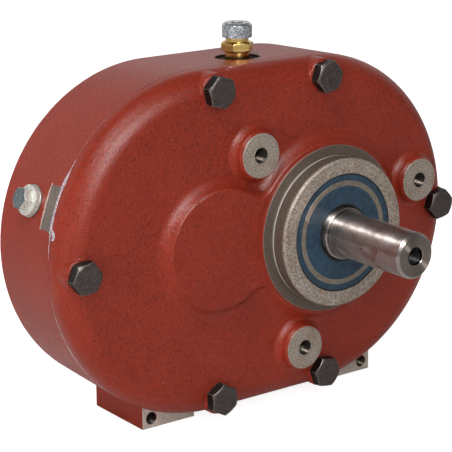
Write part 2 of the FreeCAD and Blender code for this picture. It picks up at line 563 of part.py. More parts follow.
def make_front_cover():
    """The front half: rounded shoulder, raised land over the bearings, spigot, and tapped bosses."""
    body = new_body("front_cover")
    outline = upright(body, "cover_outline", "joint_depth")
    casing_outline(outline, "casing_radius")
    rim = pad(body, "cover_rim", outline, "joint_depth - cover_face")
    face = value("cover_face")
    round_edges(body, "shoulder", rim, "shoulder_radius", lambda spot: near(spot.y, face))

    hollow = upright(body, "cover_hollow_outline", "joint_depth")
    casing_outline(hollow, CAVITY_RADIUS)
    pocket(body, "cover_hollow", hollow, "joint_depth - cover_face - cover_wall", reverse=True)

    for number, (across, along) in enumerate(BOLTS, start=1):
        rounded_pad(body, f"bolt_pad_{number}", across, along)

    land_outline = upright(body, "land_outline", "land_top")
    draw_waisted(land_outline, "hub_lobe", "bump_lobe", "land_blend")
    land = pad(body, "land", land_outline, "cover_face - land_top", reverse=True)
    bind(land, TaperAngle="land_slope")
    top = value("land_top")
    reach = value(f"{BOLT_CIRCLE} - bolt_pad - shoulder_radius")
    foot = round_edges(body, "land_foot_rounding", land, "land_foot",
                       lambda spot: near(spot.y, face) and shaft_distance(spot) < reach)
    round_edges(body, "land_edge_rounding", foot, "land_edge", lambda spot: near(spot.y, top))

    boss_profile = new_sketch(body, "boss_profile", "XY_Plane")
    turn_about_y(boss_profile, "AttachmentOffset", "-boss_angle")
    boss = footed_boss(body, "boss", boss_profile, BOSS_CIRCLE, "0", "boss_radius", "cover_face", True)
    polar(body, "bosses", [boss], "boss_count")

    pinion_hub_end = f"{PINION_FRONT_BEARING} + pinion_bearing + bearing_overhang"
    hubs = [
        ("drive_hub", "0", "drive_outer", f"{COLLAR_FRONT} + bearing_overhang"),
        ("pinion_hub", f"-{CENTRES}", "pinion_outer", pinion_hub_end),
    ]
    for name, across, radius, end in hubs:
        ring = upright(body, f"{name}_circle", end)
        draw_circle(ring, across, "0", f"{radius} + bearing_hub")
        pad(body, name, ring, f"{end} - cover_face - cover_wall / 2")

    flange = upright(body, "flange_circle", "0")
    draw_circle(flange, "0", "0", "flange_radius")
    pad(body, "flange", flange, "land_top + cover_wall / 2", reverse=True)
    spigot = new_sketch(body, "spigot_profile", "XY_Plane")
    draw_polygon(spigot, [
        ("drive_outer - bearing_hub / 2", SPIGOT_FRONT),
        ("spigot_radius - spigot_chamfer", SPIGOT_FRONT),
        ("spigot_radius", f"{SPIGOT_FRONT} + spigot_chamfer"),
        ("spigot_radius", "-relief_width"),
        ("spigot_radius - relief_depth", "-relief_width"),
        ("spigot_radius - relief_depth", "0"),
        ("spigot_radius", "0"),
        ("spigot_radius", "cover_wall / 2"),
        ("drive_outer - bearing_hub / 2", "cover_wall / 2"),
    ])
    revolve(body, "Revolution", "spigot", spigot)

    bore = new_sketch(body, "drive_bore_profile", "XY_Plane")
    clip_end = f"{DRIVE_CLIP} + clip_thickness"
    draw_polygon(bore, [
        ("0", f"{SPIGOT_FRONT} - {CUT_MARGIN}"),
        ("drive_outer", f"{SPIGOT_FRONT} - {CUT_MARGIN}"),
        ("drive_outer", DRIVE_CLIP),
        ("drive_outer + clip_groove", DRIVE_CLIP),
        ("drive_outer + clip_groove", clip_end),
        ("drive_outer", clip_end),
        ("drive_outer", "joint_depth"),
        ("0", "joint_depth"),
    ])
    revolve(body, "Groove", "drive_bore", bore)

    seat = new_sketch(body, "pinion_seat_profile", "XY_Plane")
    draw_polygon(seat, [
        (f"-{CENTRES}", f"{PINION_FRONT_BEARING} - end_relief"),
        (f"-{CENTRES} + pinion_outer - bearing_hub / 2", f"{PINION_FRONT_BEARING} - end_relief"),
        (f"-{CENTRES} + pinion_outer - bearing_hub / 2", PINION_FRONT_BEARING),
        (f"-{CENTRES} + pinion_outer", PINION_FRONT_BEARING),
        (f"-{CENTRES} + pinion_outer", "joint_depth"),
        (f"-{CENTRES}", "joint_depth"),
    ])
    revolve(body, "Groove", "pinion_seat", seat, "Edge6")

    tap = new_sketch(body, "boss_tap_profile", "XY_Plane")
    turn_about_y(tap, "AttachmentOffset", "-boss_angle")
    axis = drilled(tap, BOSS_CIRCLE, "tap_radius", "boss_tap_depth")
    tapped = revolve(body, "Groove", "boss_tap", tap, axis)
    polar(body, "boss_taps", [tapped], "boss_count")

    holes = upright(body, "cover_bolt_circles", "joint_depth")
    for across, along in BOLTS:
        draw_circle(holes, across, along, "bolt_radius + bolt_room")
    pocket(body, "cover_bolt_holes", holes, "joint_depth", reverse=True)
    dowels = upright(body, "cover_dowel_circles", "joint_depth")
    for across, along in DOWELS:
        draw_circle(dowels, across, along, "dowel_radius + fit_gap")
    pocket(body, "cover_dowel_holes", dowels, "dowel_length / 2", reverse=True)
    return body


def make_housing():
    """The rear half: drafted shell, two feet, tapped columns, bearing seats and the oil ports."""
    body = new_body("housing")
    outline = upright(body, "housing_outline", HOUSING_FRONT)
    casing_outline(outline, "casing_radius")
    shell = pad(body, "housing_shell", outline, "housing_length", reverse=True)
    bind(shell, TaperAngle="-draft_angle")
    rear = value(HOUSING_REAR)
    round_edges(body, "rear_edge", shell, "rear_edge_radius", lambda spot: near(spot.y, rear))

    feet = upright(body, "feet_outline", HOUSING_FRONT)
    ends = [(f"-{CENTRES} - pinion_foot", f"-{CENTRES} - pinion_foot + foot_width"),
            ("drive_foot - foot_width", "drive_foot")]
    for left, right in ends:
        draw_polygon(feet, [
            (left, SOLE),
            (right, SOLE),
            (right, f"-{CAVITY_RADIUS} / 2"),
            (left, f"-{CAVITY_RADIUS} / 2"),
        ])
    pad(body, "feet", feet, "foot_depth", reverse=True)

    hollow = upright(body, "housing_hollow_outline", HOUSING_FRONT)
    casing_outline(hollow, CAVITY_RADIUS)
    cavity = pocket(body, "housing_hollow", hollow, "housing_length - rear_wall")
    bind(cavity, TaperAngle="-draft_angle")

    columns = upright(body, "column_circles", HOUSING_FRONT)
    for across, along in BOLTS:
        draw_circle(columns, across, along, "column_radius")
    pad(body, "columns", columns, "column_length", reverse=True)
    taps = upright(body, "column_tap_circles", HOUSING_FRONT)
    for across, along in BOLTS:
        draw_circle(taps, across, along, "bolt_radius + fit_gap")
    pocket(body, "column_taps", taps, "column_length - column_floor")

    inner_hubs = [
        ("drive_rear_hub", "0", "drive_outer", f"{DRIVE_REAR_BEARING} - bearing_overhang"),
        ("pinion_rear_hub", f"-{CENTRES}", "pinion_outer", f"{PINION_REAR_BEARING} - bearing_overhang"),
    ]
    for name, across, radius, start in inner_hubs:
        ring = upright(body, f"{name}_circle", start)
        draw_circle(ring, across, "0", f"{radius} + bearing_hub")
        pad(body, name, ring, f"{HOUSING_REAR} - rear_wall / 2 - ({start})", reverse=True)

    rear_bosses = [
        ("rear_boss", f"-{CENTRES}", REAR_BOSS, "(pinion_outer + rear_boss_wall)"),
        ("rear_bump", "0", f"({HOUSING_REAR} + rear_bump_proud)", "rear_bump_radius"),
    ]
    for name, across, top, radius in rear_bosses:
        profile = new_sketch(body, f"{name}_profile", "XY_Plane")
        footed_boss(body, name, profile, across, top, radius, HOUSING_REAR, False)

    bore = new_sketch(body, "pinion_bore_profile", "XY_Plane")
    clip_end = f"{PINION_CLIP} + clip_thickness"
    bore_start = f"{PINION_REAR_BEARING} - bearing_overhang"
    draw_polygon(bore, [
        (f"-{CENTRES}", bore_start),
        (f"-{CENTRES} + pinion_outer", bore_start),
        (f"-{CENTRES} + pinion_outer", PINION_CLIP),
        (f"-{CENTRES} + pinion_outer + clip_groove", PINION_CLIP),
        (f"-{CENTRES} + pinion_outer + clip_groove", clip_end),
        (f"-{CENTRES} + pinion_outer", clip_end),
        (f"-{CENTRES} + pinion_outer", f"{REAR_BOSS} + {CUT_MARGIN}"),
        (f"-{CENTRES}", f"{REAR_BOSS} + {CUT_MARGIN}"),
    ])
    revolve(body, "Groove", "pinion_bore", bore, "Edge8")
    seat = new_sketch(body, "drive_seat_profile", "XY_Plane")
    draw_polygon(seat, [
        ("0", f"{DRIVE_REAR_BEARING} - bearing_overhang"),
        ("drive_outer", f"{DRIVE_REAR_BEARING} - bearing_overhang"),
        ("drive_outer", DRIVE_REAR_SEAT),
        ("drive_outer - bearing_hub / 2", DRIVE_REAR_SEAT),
        ("drive_outer - bearing_hub / 2", f"{DRIVE_REAR_SEAT} + end_relief"),
        ("0", f"{DRIVE_REAR_SEAT} + end_relief"),
    ])
    revolve(body, "Groove", "drive_seat", seat)

    foot_taps = upright(body, "foot_tap_circles", HOUSING_FRONT)
    for across, along in FOOT_TAPS:
        draw_circle(foot_taps, across, along, "foot_tap_radius")
    pocket(body, "foot_taps", foot_taps, "foot_tap_depth")
    dowels = upright(body, "housing_dowel_circles", HOUSING_FRONT)
    for across, along in DOWELS:
        draw_circle(dowels, across, along, "dowel_radius + fit_gap")
    pocket(body, "housing_dowel_holes", dowels, "dowel_length / 2")
    make_ports(body)
    return body


def side_sketch(body, name, reach):
    """A sketch that faces outwards at the side plug's angle, at a distance from the pinion shaft's axis."""
    sketch = body.newObject("Sketcher::SketchObject", name)
    sketch.AttachmentSupport = [(origin_feature(body, "XY_Plane"), "")]
    sketch.MapMode = "FlatFace"
    turn_about_y(sketch, "AttachmentOffset", "90 - port_angle")
    bind(sketch, **{
        "AttachmentOffset.Base.x": f"-{CENTRES} + ({reach}) * cos(port_angle * 1deg)",
        "AttachmentOffset.Base.z": f"({reach}) * sin(port_angle * 1deg)",
    })
    return sketch


def make_ports(body):
    """Spot faces, tapped holes and the milled flat on the rear half."""
    outside = "casing_radius"
    flat = side_sketch(body, "milled_flat_outline", outside)
    draw_polygon(flat, [
        ("-flat_height / 2", f"{HOUSING_FRONT} - {CUT_MARGIN}"),
        ("flat_height / 2", f"{HOUSING_FRONT} - {CUT_MARGIN}"),
        ("flat_height / 2", f"{HOUSING_FRONT} + flat_depth"),
        ("-flat_height / 2", f"{HOUSING_FRONT} + flat_depth"),
    ])
    pocket(body, "milled_flat", flat, "flat_sink")
    through = f"{outside} - {CAVITY_RADIUS} + rim_width"
    for name, radius, depth in (
        ("port_seat_cut", "port_seat", "port_sink"),
        ("port_tap", "plug_thread + fit_gap", through),
    ):
        circle = side_sketch(body, f"{name}_circle", outside)
        draw_circle(circle, "0", PORT_DEPTH, radius)
        pocket(body, name, circle, depth)
    for name, radius, depth in (
        ("breather_seat_cut", "seat_radius", "seat_sink"),
        ("breather_tap", "breather_thread + fit_gap", through),
    ):
        circle = new_sketch(body, f"{name}_circle", "XY_Plane", outside)
        draw_circle(circle, "-breather_offset", BREATHER_DEPTH, radius)
        pocket(body, name, circle, depth)
    drain = new_sketch(body, "drain_circle", "XY_Plane", "-casing_radius")
    draw_circle(drain, f"-{CENTRES} / 2", DRAIN_DEPTH, "drain_radius + fit_gap")
    pocket(body, "drain_hole", drain, "2 * rim_width", reverse=True)


def make_gasket():
    body = new_body("joint_gasket")
    outline = upright(body, "gasket_outline", "joint_depth")
    casing_outline(outline, "casing_radius - gasket_inset")
    pad(body, "gasket_sheet", outline, "gasket_thickness", reverse=True)
    window = upright(body, "gasket_window_outline", "joint_depth")
    casing_outline(window, CAVITY_RADIUS)
    pocket(body, "gasket_window", window, "gasket_thickness")
    tabs = upright(body, "gasket_tab_circles", "joint_depth")
    holes = upright(body, "gasket_hole_circles", "joint_depth")
    for across, along in BOLTS:
        draw_circle(tabs, across, along, "column_radius")
        draw_circle(holes, across, along, "bolt_radius + bolt_room")
    for across, along in DOWELS:
        draw_circle(holes, across, along, "dowel_radius + fit_gap")
    pad(body, "gasket_tabs", tabs, "gasket_thickness", reverse=True)
    pocket(body, "gasket_holes", holes, "gasket_thickness")
    return body


def cylinder(name, radius, height):
    made = doc.addObject("Part::Cylinder", name)
    bind(made, Radius=radius, Height=height)
    return made


def joined(kind, label, **links):
    made = doc.addObject(f"Part::{kind}", label)
    made.Label = label
    for name, link in links.items():
        setattr(made, name, link)
    return made


def hexagon(name, flats, height, turn, both_ends=False):
    """A hexagon along +Z from the origin, a corner turned off +X, bevelled at the top or at both ends."""
    prism = doc.addObject("Part::Prism", f"{name}_prism")
    prism.Polygon = 6
    prism.Placement = FreeCAD.Placement(V(0, 0, 0), FreeCAD.Rotation(AXIS_Z, turn))
    bind(prism, Circumradius=f"{flats} / 2 / cos(30deg)", Height=height)
    face = f"{flats} / 2 * {HEXAGON_FACE}"
    spread = f"{height} / tan({HEXAGON_CHAMFER}deg)"
    shape = prism
    for end in (("top", "bottom") if both_ends else ("top",)):
        cone = doc.addObject("Part::Cone", f"{name}_{end}_bevel")
        wide, narrow = ("Radius1", "Radius2") if end == "top" else ("Radius2", "Radius1")
        bind(cone, Height=height, **{wide: f"{face} + {spread}", narrow: face})
        shape = joined("Common", f"{name}_{end}", Base=shape, Tool=cone)
    return shape


def make_cover_bolts():
    bolts = []
    for number, ((across, along), turn) in enumerate(zip(BOLTS, BOLT_TURNS), start=1):
        head = hexagon(f"bolt_{number}_head", "bolt_flats", "bolt_head", turn)
        shank = cylinder(f"bolt_{number}_shank", "bolt_radius", "bolt_length + bolt_head / 2")
        place(shank, z="-bolt_length")
        bolt = joined("Fuse", f"bolt_{number}", Base=head, Tool=shank)
        bolt.Placement = FreeCAD.Placement(V(0, 0, 0), FreeCAD.Rotation(AXIS_X, 90))
        place(bolt, across, "cover_face", along)
        bolts.append(bolt)
    return joined("Compound", "cover_bolts", Links=bolts)


def make_dowel_pins():
    pins = []
    for number, (across, along) in enumerate(DOWELS, start=1):
        pin = cylinder(f"dowel_{number}", "dowel_radius", "dowel_length")
        lay_along_y(pin)
        place(pin, across, "joint_depth + (gasket_thickness - dowel_length) / 2", along)
        pins.append(pin)
    return joined("Compound", "dowel_pins", Links=pins)


def keyway(body, name, plane, surface, start, end, width, depth):
    """A closed keyway along the shaft, sunk from its surface."""
    half = f"{width} / 2"
    sketch = new_sketch(body, f"{name}_outline", plane, surface)
    near_end, far_end = f"{start} + {half}", f"{end} - {half}"
    if plane == "YZ_Plane":
        draw_slot(sketch, (near_end, "0"), (far_end, "0"), half)
    else:
        draw_slot(sketch, ("0", near_end), ("0", far_end), half)
    pocket(body, name, sketch, depth)


def make_drive_shaft():
    step = f"({SPIGOT_FRONT} - journal_proud)"
    seat_end = f"({WHEEL_BACK} - end_relief / 2)"
    body = turned("drive_shaft", [
        ("0", f"{DRIVE_TIP} + centre_depth + tap_radius / 2"),
        ("tap_radius", f"{DRIVE_TIP} + centre_depth"),
        ("tap_radius", f"{DRIVE_TIP} + centre_mouth"),
        ("tap_radius + centre_mouth", DRIVE_TIP),
        ("drive_end - end_chamfer", DRIVE_TIP),
        ("drive_end", f"{DRIVE_TIP} + end_chamfer"),
        ("drive_end", step),
        ("drive_journal - step_chamfer", step),
        ("drive_journal", f"{step} + step_chamfer"),
        ("drive_journal", COLLAR_FRONT),
        ("drive_collar", COLLAR_FRONT),
        ("drive_collar", WHEEL_FRONT),
        ("wheel_seat", WHEEL_FRONT),
        ("wheel_seat", seat_end),
        ("drive_journal", seat_end),
        ("drive_journal", DRIVE_REAR_SEAT),
        ("0", DRIVE_REAR_SEAT),
    ])
    key_start = f"{DRIVE_TIP} + end_key_inset"
    keyway(body, "end_keyway", "YZ_Plane", "drive_end", key_start, f"{key_start} + end_key_length",
           "end_key_width", "end_key_depth")
    key_start = f"{WHEEL_FRONT} + (wheel_width - wheel_key_length) / 2"
    keyway(body, "wheel_keyway", "XY_Plane", "wheel_seat", key_start, f"{key_start} + wheel_key_length",
           "wheel_key_width", "wheel_key_seat")
    return body


def make_gear_key():
    body = new_body("gear_key")
    outline = new_sketch(body, "key_outline", "XY_Plane", "wheel_seat - wheel_key_seat")
    half = "wheel_key_width / 2 - fit_gap"
    reach = "(wheel_width - wheel_key_length + wheel_key_width) / 2"
    draw_slot(outline, ("0", f"{WHEEL_FRONT} + {reach}"), ("0", f"{WHEEL_BACK} - {reach}"), half)
    pad(body, "key_block", outline, "wheel_key_height")
    return body


def gear_blank(name, teeth_name, width, start, phase):
    """A toothed disc with involute flanks. phase is the angle of one tooth's middle, towards +Z from +X."""
    module, teeth = value("gear_module"), round(value(teeth_name))
    pitch = module * teeth / 2
    base = pitch * math.cos(math.radians(value("pressure_angle")))
    tip, root = pitch + module, pitch - DEDENDUM * module
    lead = math.tan(math.acos(base / pitch)) - math.acos(base / pitch)
    half_tooth = (math.pi * module / 2 - value("tooth_thinning")) / (2 * pitch)
    depth = value(start)

    def spot(radius, angle):
        return V(radius * math.cos(angle), depth, radius * math.sin(angle))

    def flank(radius):
        """Half the tooth's angle at a radius."""
        roll = math.acos(min(1.0, base / radius))
        return half_tooth + lead - (math.tan(roll) - roll)

    foot = max(base, root)
    radii = [foot + (tip - foot) * step / FLANK_STEPS for step in range(FLANK_STEPS + 1)]
    edges = []
    for tooth in range(teeth):
        middle = phase + 2 * math.pi * tooth / teeth
        after = middle + 2 * math.pi / teeth
        for side, order in ((-1, radii), (1, radii[::-1])):
            curve = Part.BSplineCurve()
            curve.interpolate([spot(radius, middle + side * flank(radius)) for radius in order])
            lean = middle + side * flank(foot)
            below = Part.LineSegment(spot(root, lean), spot(foot, lean))
            if foot > root:
                edges.append((below.toShape(), curve.toShape())[::-side])
            else:
                edges.append((curve.toShape(),))
            if side < 0:
                crown = [spot(tip, middle + share * flank(tip)) for share in (-1, 0, 1)]
                edges.append((Part.Arc(*crown).toShape(),))
        gap_start, gap_end = middle + flank(foot), after - flank(foot)
        valley = [spot(root, angle) for angle in (gap_start, (gap_start + gap_end) / 2, gap_end)]
        edges.append((Part.Arc(*valley).toShape(),))
    wire = Part.Wire([edge for group in edges for edge in group])
    blank = doc.addObject("Part::Feature", name)
    blank.Shape = Part.Face(wire).extrude(AXIS_Y * value(width))
    return blank


def ring_cutter(name, inner, outer, start, length):
    """A ring about the drive shaft, used to recess the wheel's sides."""
    parts = []
    for part, radius in (("outer", outer), ("inner", inner)):
        made = cylinder(f"{name}_{part}", radius, length)
        lay_along_y(made)
        place(made, y=start)
        parts.append(made)
    return joined("Cut", name, Base=parts[0], Tool=parts[1])


def make_drive_gear():
    blank = gear_blank("wheel_blank", "wheel_teeth", "wheel_width", WHEEL_FRONT, math.pi)
    bore = cylinder("wheel_bore", "wheel_seat + fit_gap", "wheel_width")
    lay_along_y(bore)
    place(bore, y=WHEEL_FRONT)
    slot = doc.addObject("Part::Box", "wheel_key_slot")
    slot_top = "wheel_seat - wheel_key_seat + wheel_key_height + key_room"
    bind(slot, Length="wheel_key_width", Width="wheel_width", Height=slot_top)
    place(slot, "-wheel_key_width / 2", WHEEL_FRONT, "0")
    recesses = [
        ring_cutter("front_recess", "wheel_hub", "wheel_rim", WHEEL_FRONT, "web_recess"),
        ring_cutter("back_recess", "wheel_hub", "wheel_rim", f"{WHEEL_BACK} - web_recess", "web_recess"),
    ]
    cutters = joined("MultiFuse", "wheel_cutters", Shapes=[bore, slot] + recesses)
    return joined("Cut", "drive_gear", Base=blank, Tool=cutters)


def make_pinion_shaft():
    """The second shaft in one piece with its pinion."""
    step = f"({REAR_BOSS} + journal_proud)"
    shaft = turned("pinion_arbor", [
        ("0", PINION_FRONT_BEARING),
        ("pinion_journal", PINION_FRONT_BEARING),
        ("pinion_journal", f"{PINION_FRONT_BEARING} + pinion_bearing"),
        ("pinion_shoulder", f"{PINION_FRONT_BEARING} + pinion_bearing"),
        ("pinion_shoulder", PINION_REAR_BEARING),
        ("pinion_journal", PINION_REAR_BEARING),
        ("pinion_journal", f"{step} - step_chamfer"),
        ("pinion_journal - step_chamfer", step),
        ("pinion_end", step),
        ("pinion_end", f"{PINION_TIP} - end_chamfer"),
        ("pinion_end - end_chamfer", PINION_TIP),
        ("pinion_tap + centre_mouth", PINION_TIP),
        ("pinion_tap", f"{PINION_TIP} - centre_mouth"),
        ("pinion_tap", f"{PINION_TIP} - centre_depth"),
        ("0", f"{PINION_TIP} - centre_depth - pinion_tap / 2"),
    ])
    key_end = f"{PINION_TIP} - end_key_inset"
    keyway(shaft, "pinion_end_keyway", "YZ_Plane", "pinion_end", f"{key_end} - end_key_length", key_end,
           "end_key_width", "end_key_depth")
    half_pitch = math.pi / round(value("pinion_teeth"))
    teeth = gear_blank("pinion_blank", "pinion_teeth", "pinion_width", PINION_FRONT, half_pitch)
    return on_pinion_axis(joined("Fuse", "pinion_shaft", Base=shaft, Tool=teeth))


def make_bearing(name, kind, journal, width, start):
    """A deep-groove ball bearing: outer ring, inner ring, balls and cage, about the body's own Y axis."""
    outer, ball, groove, count = f"{kind}_outer", f"{kind}_ball", f"{kind}_groove", f"{kind}_balls"
    pitch = f"(({journal} + {outer}) / 2)"
    end = f"({start} + {width})"
    middle = f"({start} + {width} / 2)"
    pieces = {}
    for ring, seat, shoulder, inwards in (
        ("outer", f"{outer} - fit_gap", f"{pitch} + {groove}", "-ring_chamfer"),
        ("inner", f"{journal} + fit_gap", f"{pitch} - {groove}", "+ring_chamfer"),
    ):
        body = turned(f"{name}_{ring}_ring", [
            (shoulder, start),
            (f"{seat} {inwards}", start),
            (seat, f"{start} + ring_chamfer"),
            (seat, f"{end} - ring_chamfer"),
            (f"{seat} {inwards}", end),
            (shoulder, end),
        ])
        track = new_sketch(body, f"{name}_{ring}_track_circle", "XY_Plane")
        draw_circle(track, pitch, middle, f"{ball} + run_gap")
        revolve(body, "Groove", f"{name}_{ring}_track", track)
        pieces[ring] = body
    balls = new_body(f"{name}_balls")
    balls.AllowCompound = True
    half_disc = new_sketch(balls, f"{name}_ball_profile", "XY_Plane")
    chord = draw_half_disc(half_disc, pitch, middle, ball)
    sphere = revolve(balls, "Revolution", f"{name}_ball", half_disc, chord)
    polar(balls, f"{name}_ball_ring", [sphere], count)
    pieces["balls"] = balls
    reach = f"({ball} + ball_pocket + cage_wall)"
    inner_wall, outer_wall = f"{pitch} - {groove} + cage_gap", f"{pitch} + {groove} - cage_gap"
    cage = tube(f"{name}_cage", inner_wall, outer_wall, f"{middle} - {reach}", f"{middle} + {reach}")
    pocket_half = new_sketch(cage, f"{name}_pocket_profile", "XY_Plane")
    chord = draw_half_disc(pocket_half, pitch, middle, f"({ball} + ball_pocket)")
    opening = revolve(cage, "Groove", f"{name}_pocket", pocket_half, chord)
    polar(cage, f"{name}_pockets", [opening], count)
    pieces["cage"] = cage
    return pieces


def draw_half_disc(sketch, across, along, radius):
    """Half a disc, whose straight edge is the axis that turns it into a ball."""
    middle, size = V(value(across), value(along), 0), value(radius)
    arc = add_arc(sketch, middle, size, -math.pi / 2, math.pi / 2)
    chord = sketch.addGeometry(Part.LineSegment(middle + AXIS_Y * size, middle - AXIS_Y * size))
    sketch.addConstraint(Sketcher.Constraint("Coincident", arc, 2, chord, 1))
    sketch.addConstraint(Sketcher.Constraint("Coincident", chord, 2, arc, 1))
    sketch.addConstraint(Sketcher.Constraint("Vertical", chord))
    sketch.addConstraint(Sketcher.Constraint("PointOnObject", arc, 3, chord))
    fix_point(sketch, arc, 3, across, along)
    datum(sketch, radius, "Radius", arc)
    return f"Edge{chord + 1}"


def make_seal(name, journal, outer):
    """An oil seal whose outer face is at the body's own origin and whose lip points along +Y."""
    ring_outer = f"({outer} - seal_band)"
    ring_inner = f"({ring_outer} - seal_ring_width)"
    lip = f"({journal} + seal_lip)"
    edge = f"({journal} + run_gap)"
    rubber = turned(name, [
        (f"{edge} + lip_relief", "0"),
        (ring_inner, "0"),
        (ring_inner, "seal_ring_depth"),
        (ring_outer, "seal_ring_depth"),
        (ring_outer, "0"),
        (f"{outer} - fit_gap - seal_recess", "0"),
        (f"{outer} - fit_gap", "seal_recess"),
        (f"{outer} - fit_gap", "seal_width"),
        (f"{outer} - seal_wall", "seal_width"),
        (f"{outer} - seal_wall", "seal_face"),
        (lip, "seal_face"),
        (lip, "seal_width - seal_recess"),
        (f"{edge} + lip_relief", "seal_width - seal_recess"),
        (edge, "lip_depth"),
        (f"{edge} + lip_relief", "(lip_depth + dust_lip_depth) / 2"),
        (edge, "dust_lip_depth"),
    ])
    inner, rim = f"{ring_inner} + fit_gap", f"{ring_outer} - fit_gap"
    ring = tube(f"{name}_ring", inner, rim, "fit_gap", "seal_ring_depth")
    spring = new_body(f"{name}_spring")
    coil = new_sketch(spring, f"{name}_spring_circle", "XY_Plane")
    draw_circle(coil, f"{lip} + fit_gap + spring_wire", "lip_depth", "spring_wire")
    revolve(spring, "Revolution", f"{name}_spring_ring", coil)
    return [rubber, ring, spring]


def make_circlip(label, bore, start):
    body = new_body(label)
    section = new_sketch(body, f"{label}_section", "XY_Plane")
    draw_polygon(section, [
        (f"{bore} - clip_height", f"{start} + fit_gap"),
        (f"{bore} + clip_groove - run_gap", f"{start} + fit_gap"),
        (f"{bore} + clip_groove - run_gap", f"{start} + clip_thickness - fit_gap"),
        (f"{bore} - clip_height", f"{start} + clip_thickness - fit_gap"),
    ])
    ring = revolve(body, "Revolution", f"{label}_ring", section)
    bind(ring, Angle=f"{FULL_TURN} - clip_opening")
    return body


def make_breather():
    top = "(breather_foot_height + breather_hexagon)"
    seat = f"({top} + breather_neck_height)"
    stem = turned("breather_stem_turning", [
        ("breather_bore", "-breather_stem"),
        ("breather_thread", "-breather_stem"),
        ("breather_thread", "0"),
        ("breather_foot", "0"),
        ("breather_foot", "breather_foot_height"),
        ("breather_neck", "breather_foot_height"),
        ("breather_neck", f"{seat} + breather_spout"),
        ("breather_bore", f"{seat} + breather_spout"),
    ], "XZ_Plane")
    nut = hexagon("breather_nut", "breather_flats", "breather_hexagon", BREATHER_TURN, both_ends=True)
    bore = cylinder("breather_nut_bore", "(breather_bore + breather_neck) / 2", "breather_hexagon")
    ring = joined("Cut", "breather_nut_ring", Base=nut, Tool=bore)
    place(ring, z="breather_foot_height")
    body = joined("Fuse", "breather_body", Base=stem, Tool=ring)
    cap_top = f"({seat} + cap_height)"
    cap = turned("breather_cap", [
        ("breather_neck + fit_gap", seat),
        ("cap_radius", seat),
        ("cap_radius", f"{cap_top} - cap_edge"),
        ("cap_radius - cap_edge", cap_top),
        ("cap_crown_radius", cap_top),
        ("cap_crown_radius - cap_crown", f"{cap_top} + cap_crown"),
        ("0", f"{cap_top} + cap_crown"),
        ("0", f"{seat} + breather_spout + cap_edge"),
        ("breather_neck + fit_gap", f"{seat} + breather_spout + cap_edge"),
    ], "XZ_Plane")
    for piece in (body, cap):
        place(piece, "-breather_offset", BREATHER_DEPTH, BREATHER_SEAT)
    return [body, cap]


def make_level_plug():
    stem = turned("level_plug_turning", [
        ("0", "-plug_length"),
        ("plug_thread - plug_chamfer", "-plug_length"),
        ("plug_thread", "plug_chamfer - plug_length"),
        ("plug_thread", "washer_thickness"),
        ("plug_collar", "washer_thickness"),
        ("plug_collar", "washer_thickness + plug_collar_height"),
        ("0", "washer_thickness + plug_collar_height"),
    ], "XZ_Plane")
    head = hexagon("level_plug_head", "plug_flats", "plug_head", PLUG_TURN)
    place(head, z="washer_thickness + plug_collar_height")
    plug = joined("Fuse", "level_plug", Base=stem, Tool=head)
    washer = turned("level_plug_washer", [
        ("plug_thread + fit_gap", "0"),
        ("washer_radius", "0"),
        ("washer_radius", "washer_thickness"),
        ("plug_thread + fit_gap", "washer_thickness"),
    ], "XZ_Plane")
    for piece in (plug, washer):
        turn_about_y(piece, "Placement", "90 - port_angle")
        place(piece, f"-{CENTRES} + {PORT_REACH} * cos(port_angle * 1deg)", PORT_DEPTH,
              f"{PORT_REACH} * sin(port_angle * 1deg)")
    return [plug, washer]


def make_drain_plug():
    stem = turned("drain_turning", [
        ("0", "0"),
        ("drain_radius - plug_chamfer", "0"),
        ("drain_radius", "plug_chamfer"),
        ("drain_radius", "drain_length"),
        ("0", "drain_length"),
    ], "XZ_Plane")
    socket = doc.addObject("Part::Prism", "drain_socket_prism")
    socket.Polygon = 6
    bind(socket, Circumradius="drain_flats / 2 / cos(30deg)", Height="drain_socket")
    plug = joined("Cut", "drain_plug", Base=stem, Tool=socket)
    place(plug, f"-{CENTRES} / 2", DRAIN_DEPTH, "drain_sink - casing_radius")
    return plug


def make_all():
    """Every sub-part, keyed by its label."""
    made = [make_housing(), make_front_cover(), make_gasket(), make_cover_bolts(), make_dowel_pins()]
    made += [make_drive_shaft(), make_drive_gear(), make_gear_key(), make_pinion_shaft()]
    spacer_bore = "drive_journal + fit_gap"
    made.append(tube("gear_spacer", spacer_bore, "spacer_radius", WHEEL_BACK, DRIVE_REAR_BEARING))
    for name, start in (("drive_front", DRIVE_FRONT_BEARING), ("drive_rear", DRIVE_REAR_BEARING)):
        made += make_bearing(name, "drive", "drive_journal", "drive_width", start).values()
    for name, start in (("pinion_front", PINION_FRONT_BEARING), ("pinion_rear", PINION_REAR_BEARING)):
        pieces = make_bearing(name, "pinion", "pinion_journal", "pinion_bearing", start)
        made += [on_pinion_axis(piece) for piece in pieces.values()]
    front_seal = make_seal("front_seal", "drive_journal", "drive_outer")
    rear_seal = make_seal("rear_seal", "pinion_journal", "pinion_outer")
    for piece in front_seal:
        place(piece, y=DRIVE_SEAL)
    for piece in rear_seal:
        piece.Placement = FreeCAD.Placement(V(0, 0, 0), FreeCAD.Rotation(AXIS_Z, 180))
        place(piece, x=f"-{CENTRES}", y=PINION_SEAL)
    made += front_seal + rear_seal
    made += [make_circlip("front_circlip", "drive_outer", DRIVE_CLIP),
             on_pinion_axis(make_circlip("rear_circlip", "pinion_outer", PINION_CLIP))]
    made += make_breather() + make_level_plug()
    made.append(make_drain_plug())
    return {piece.Label: piece for piece in made}


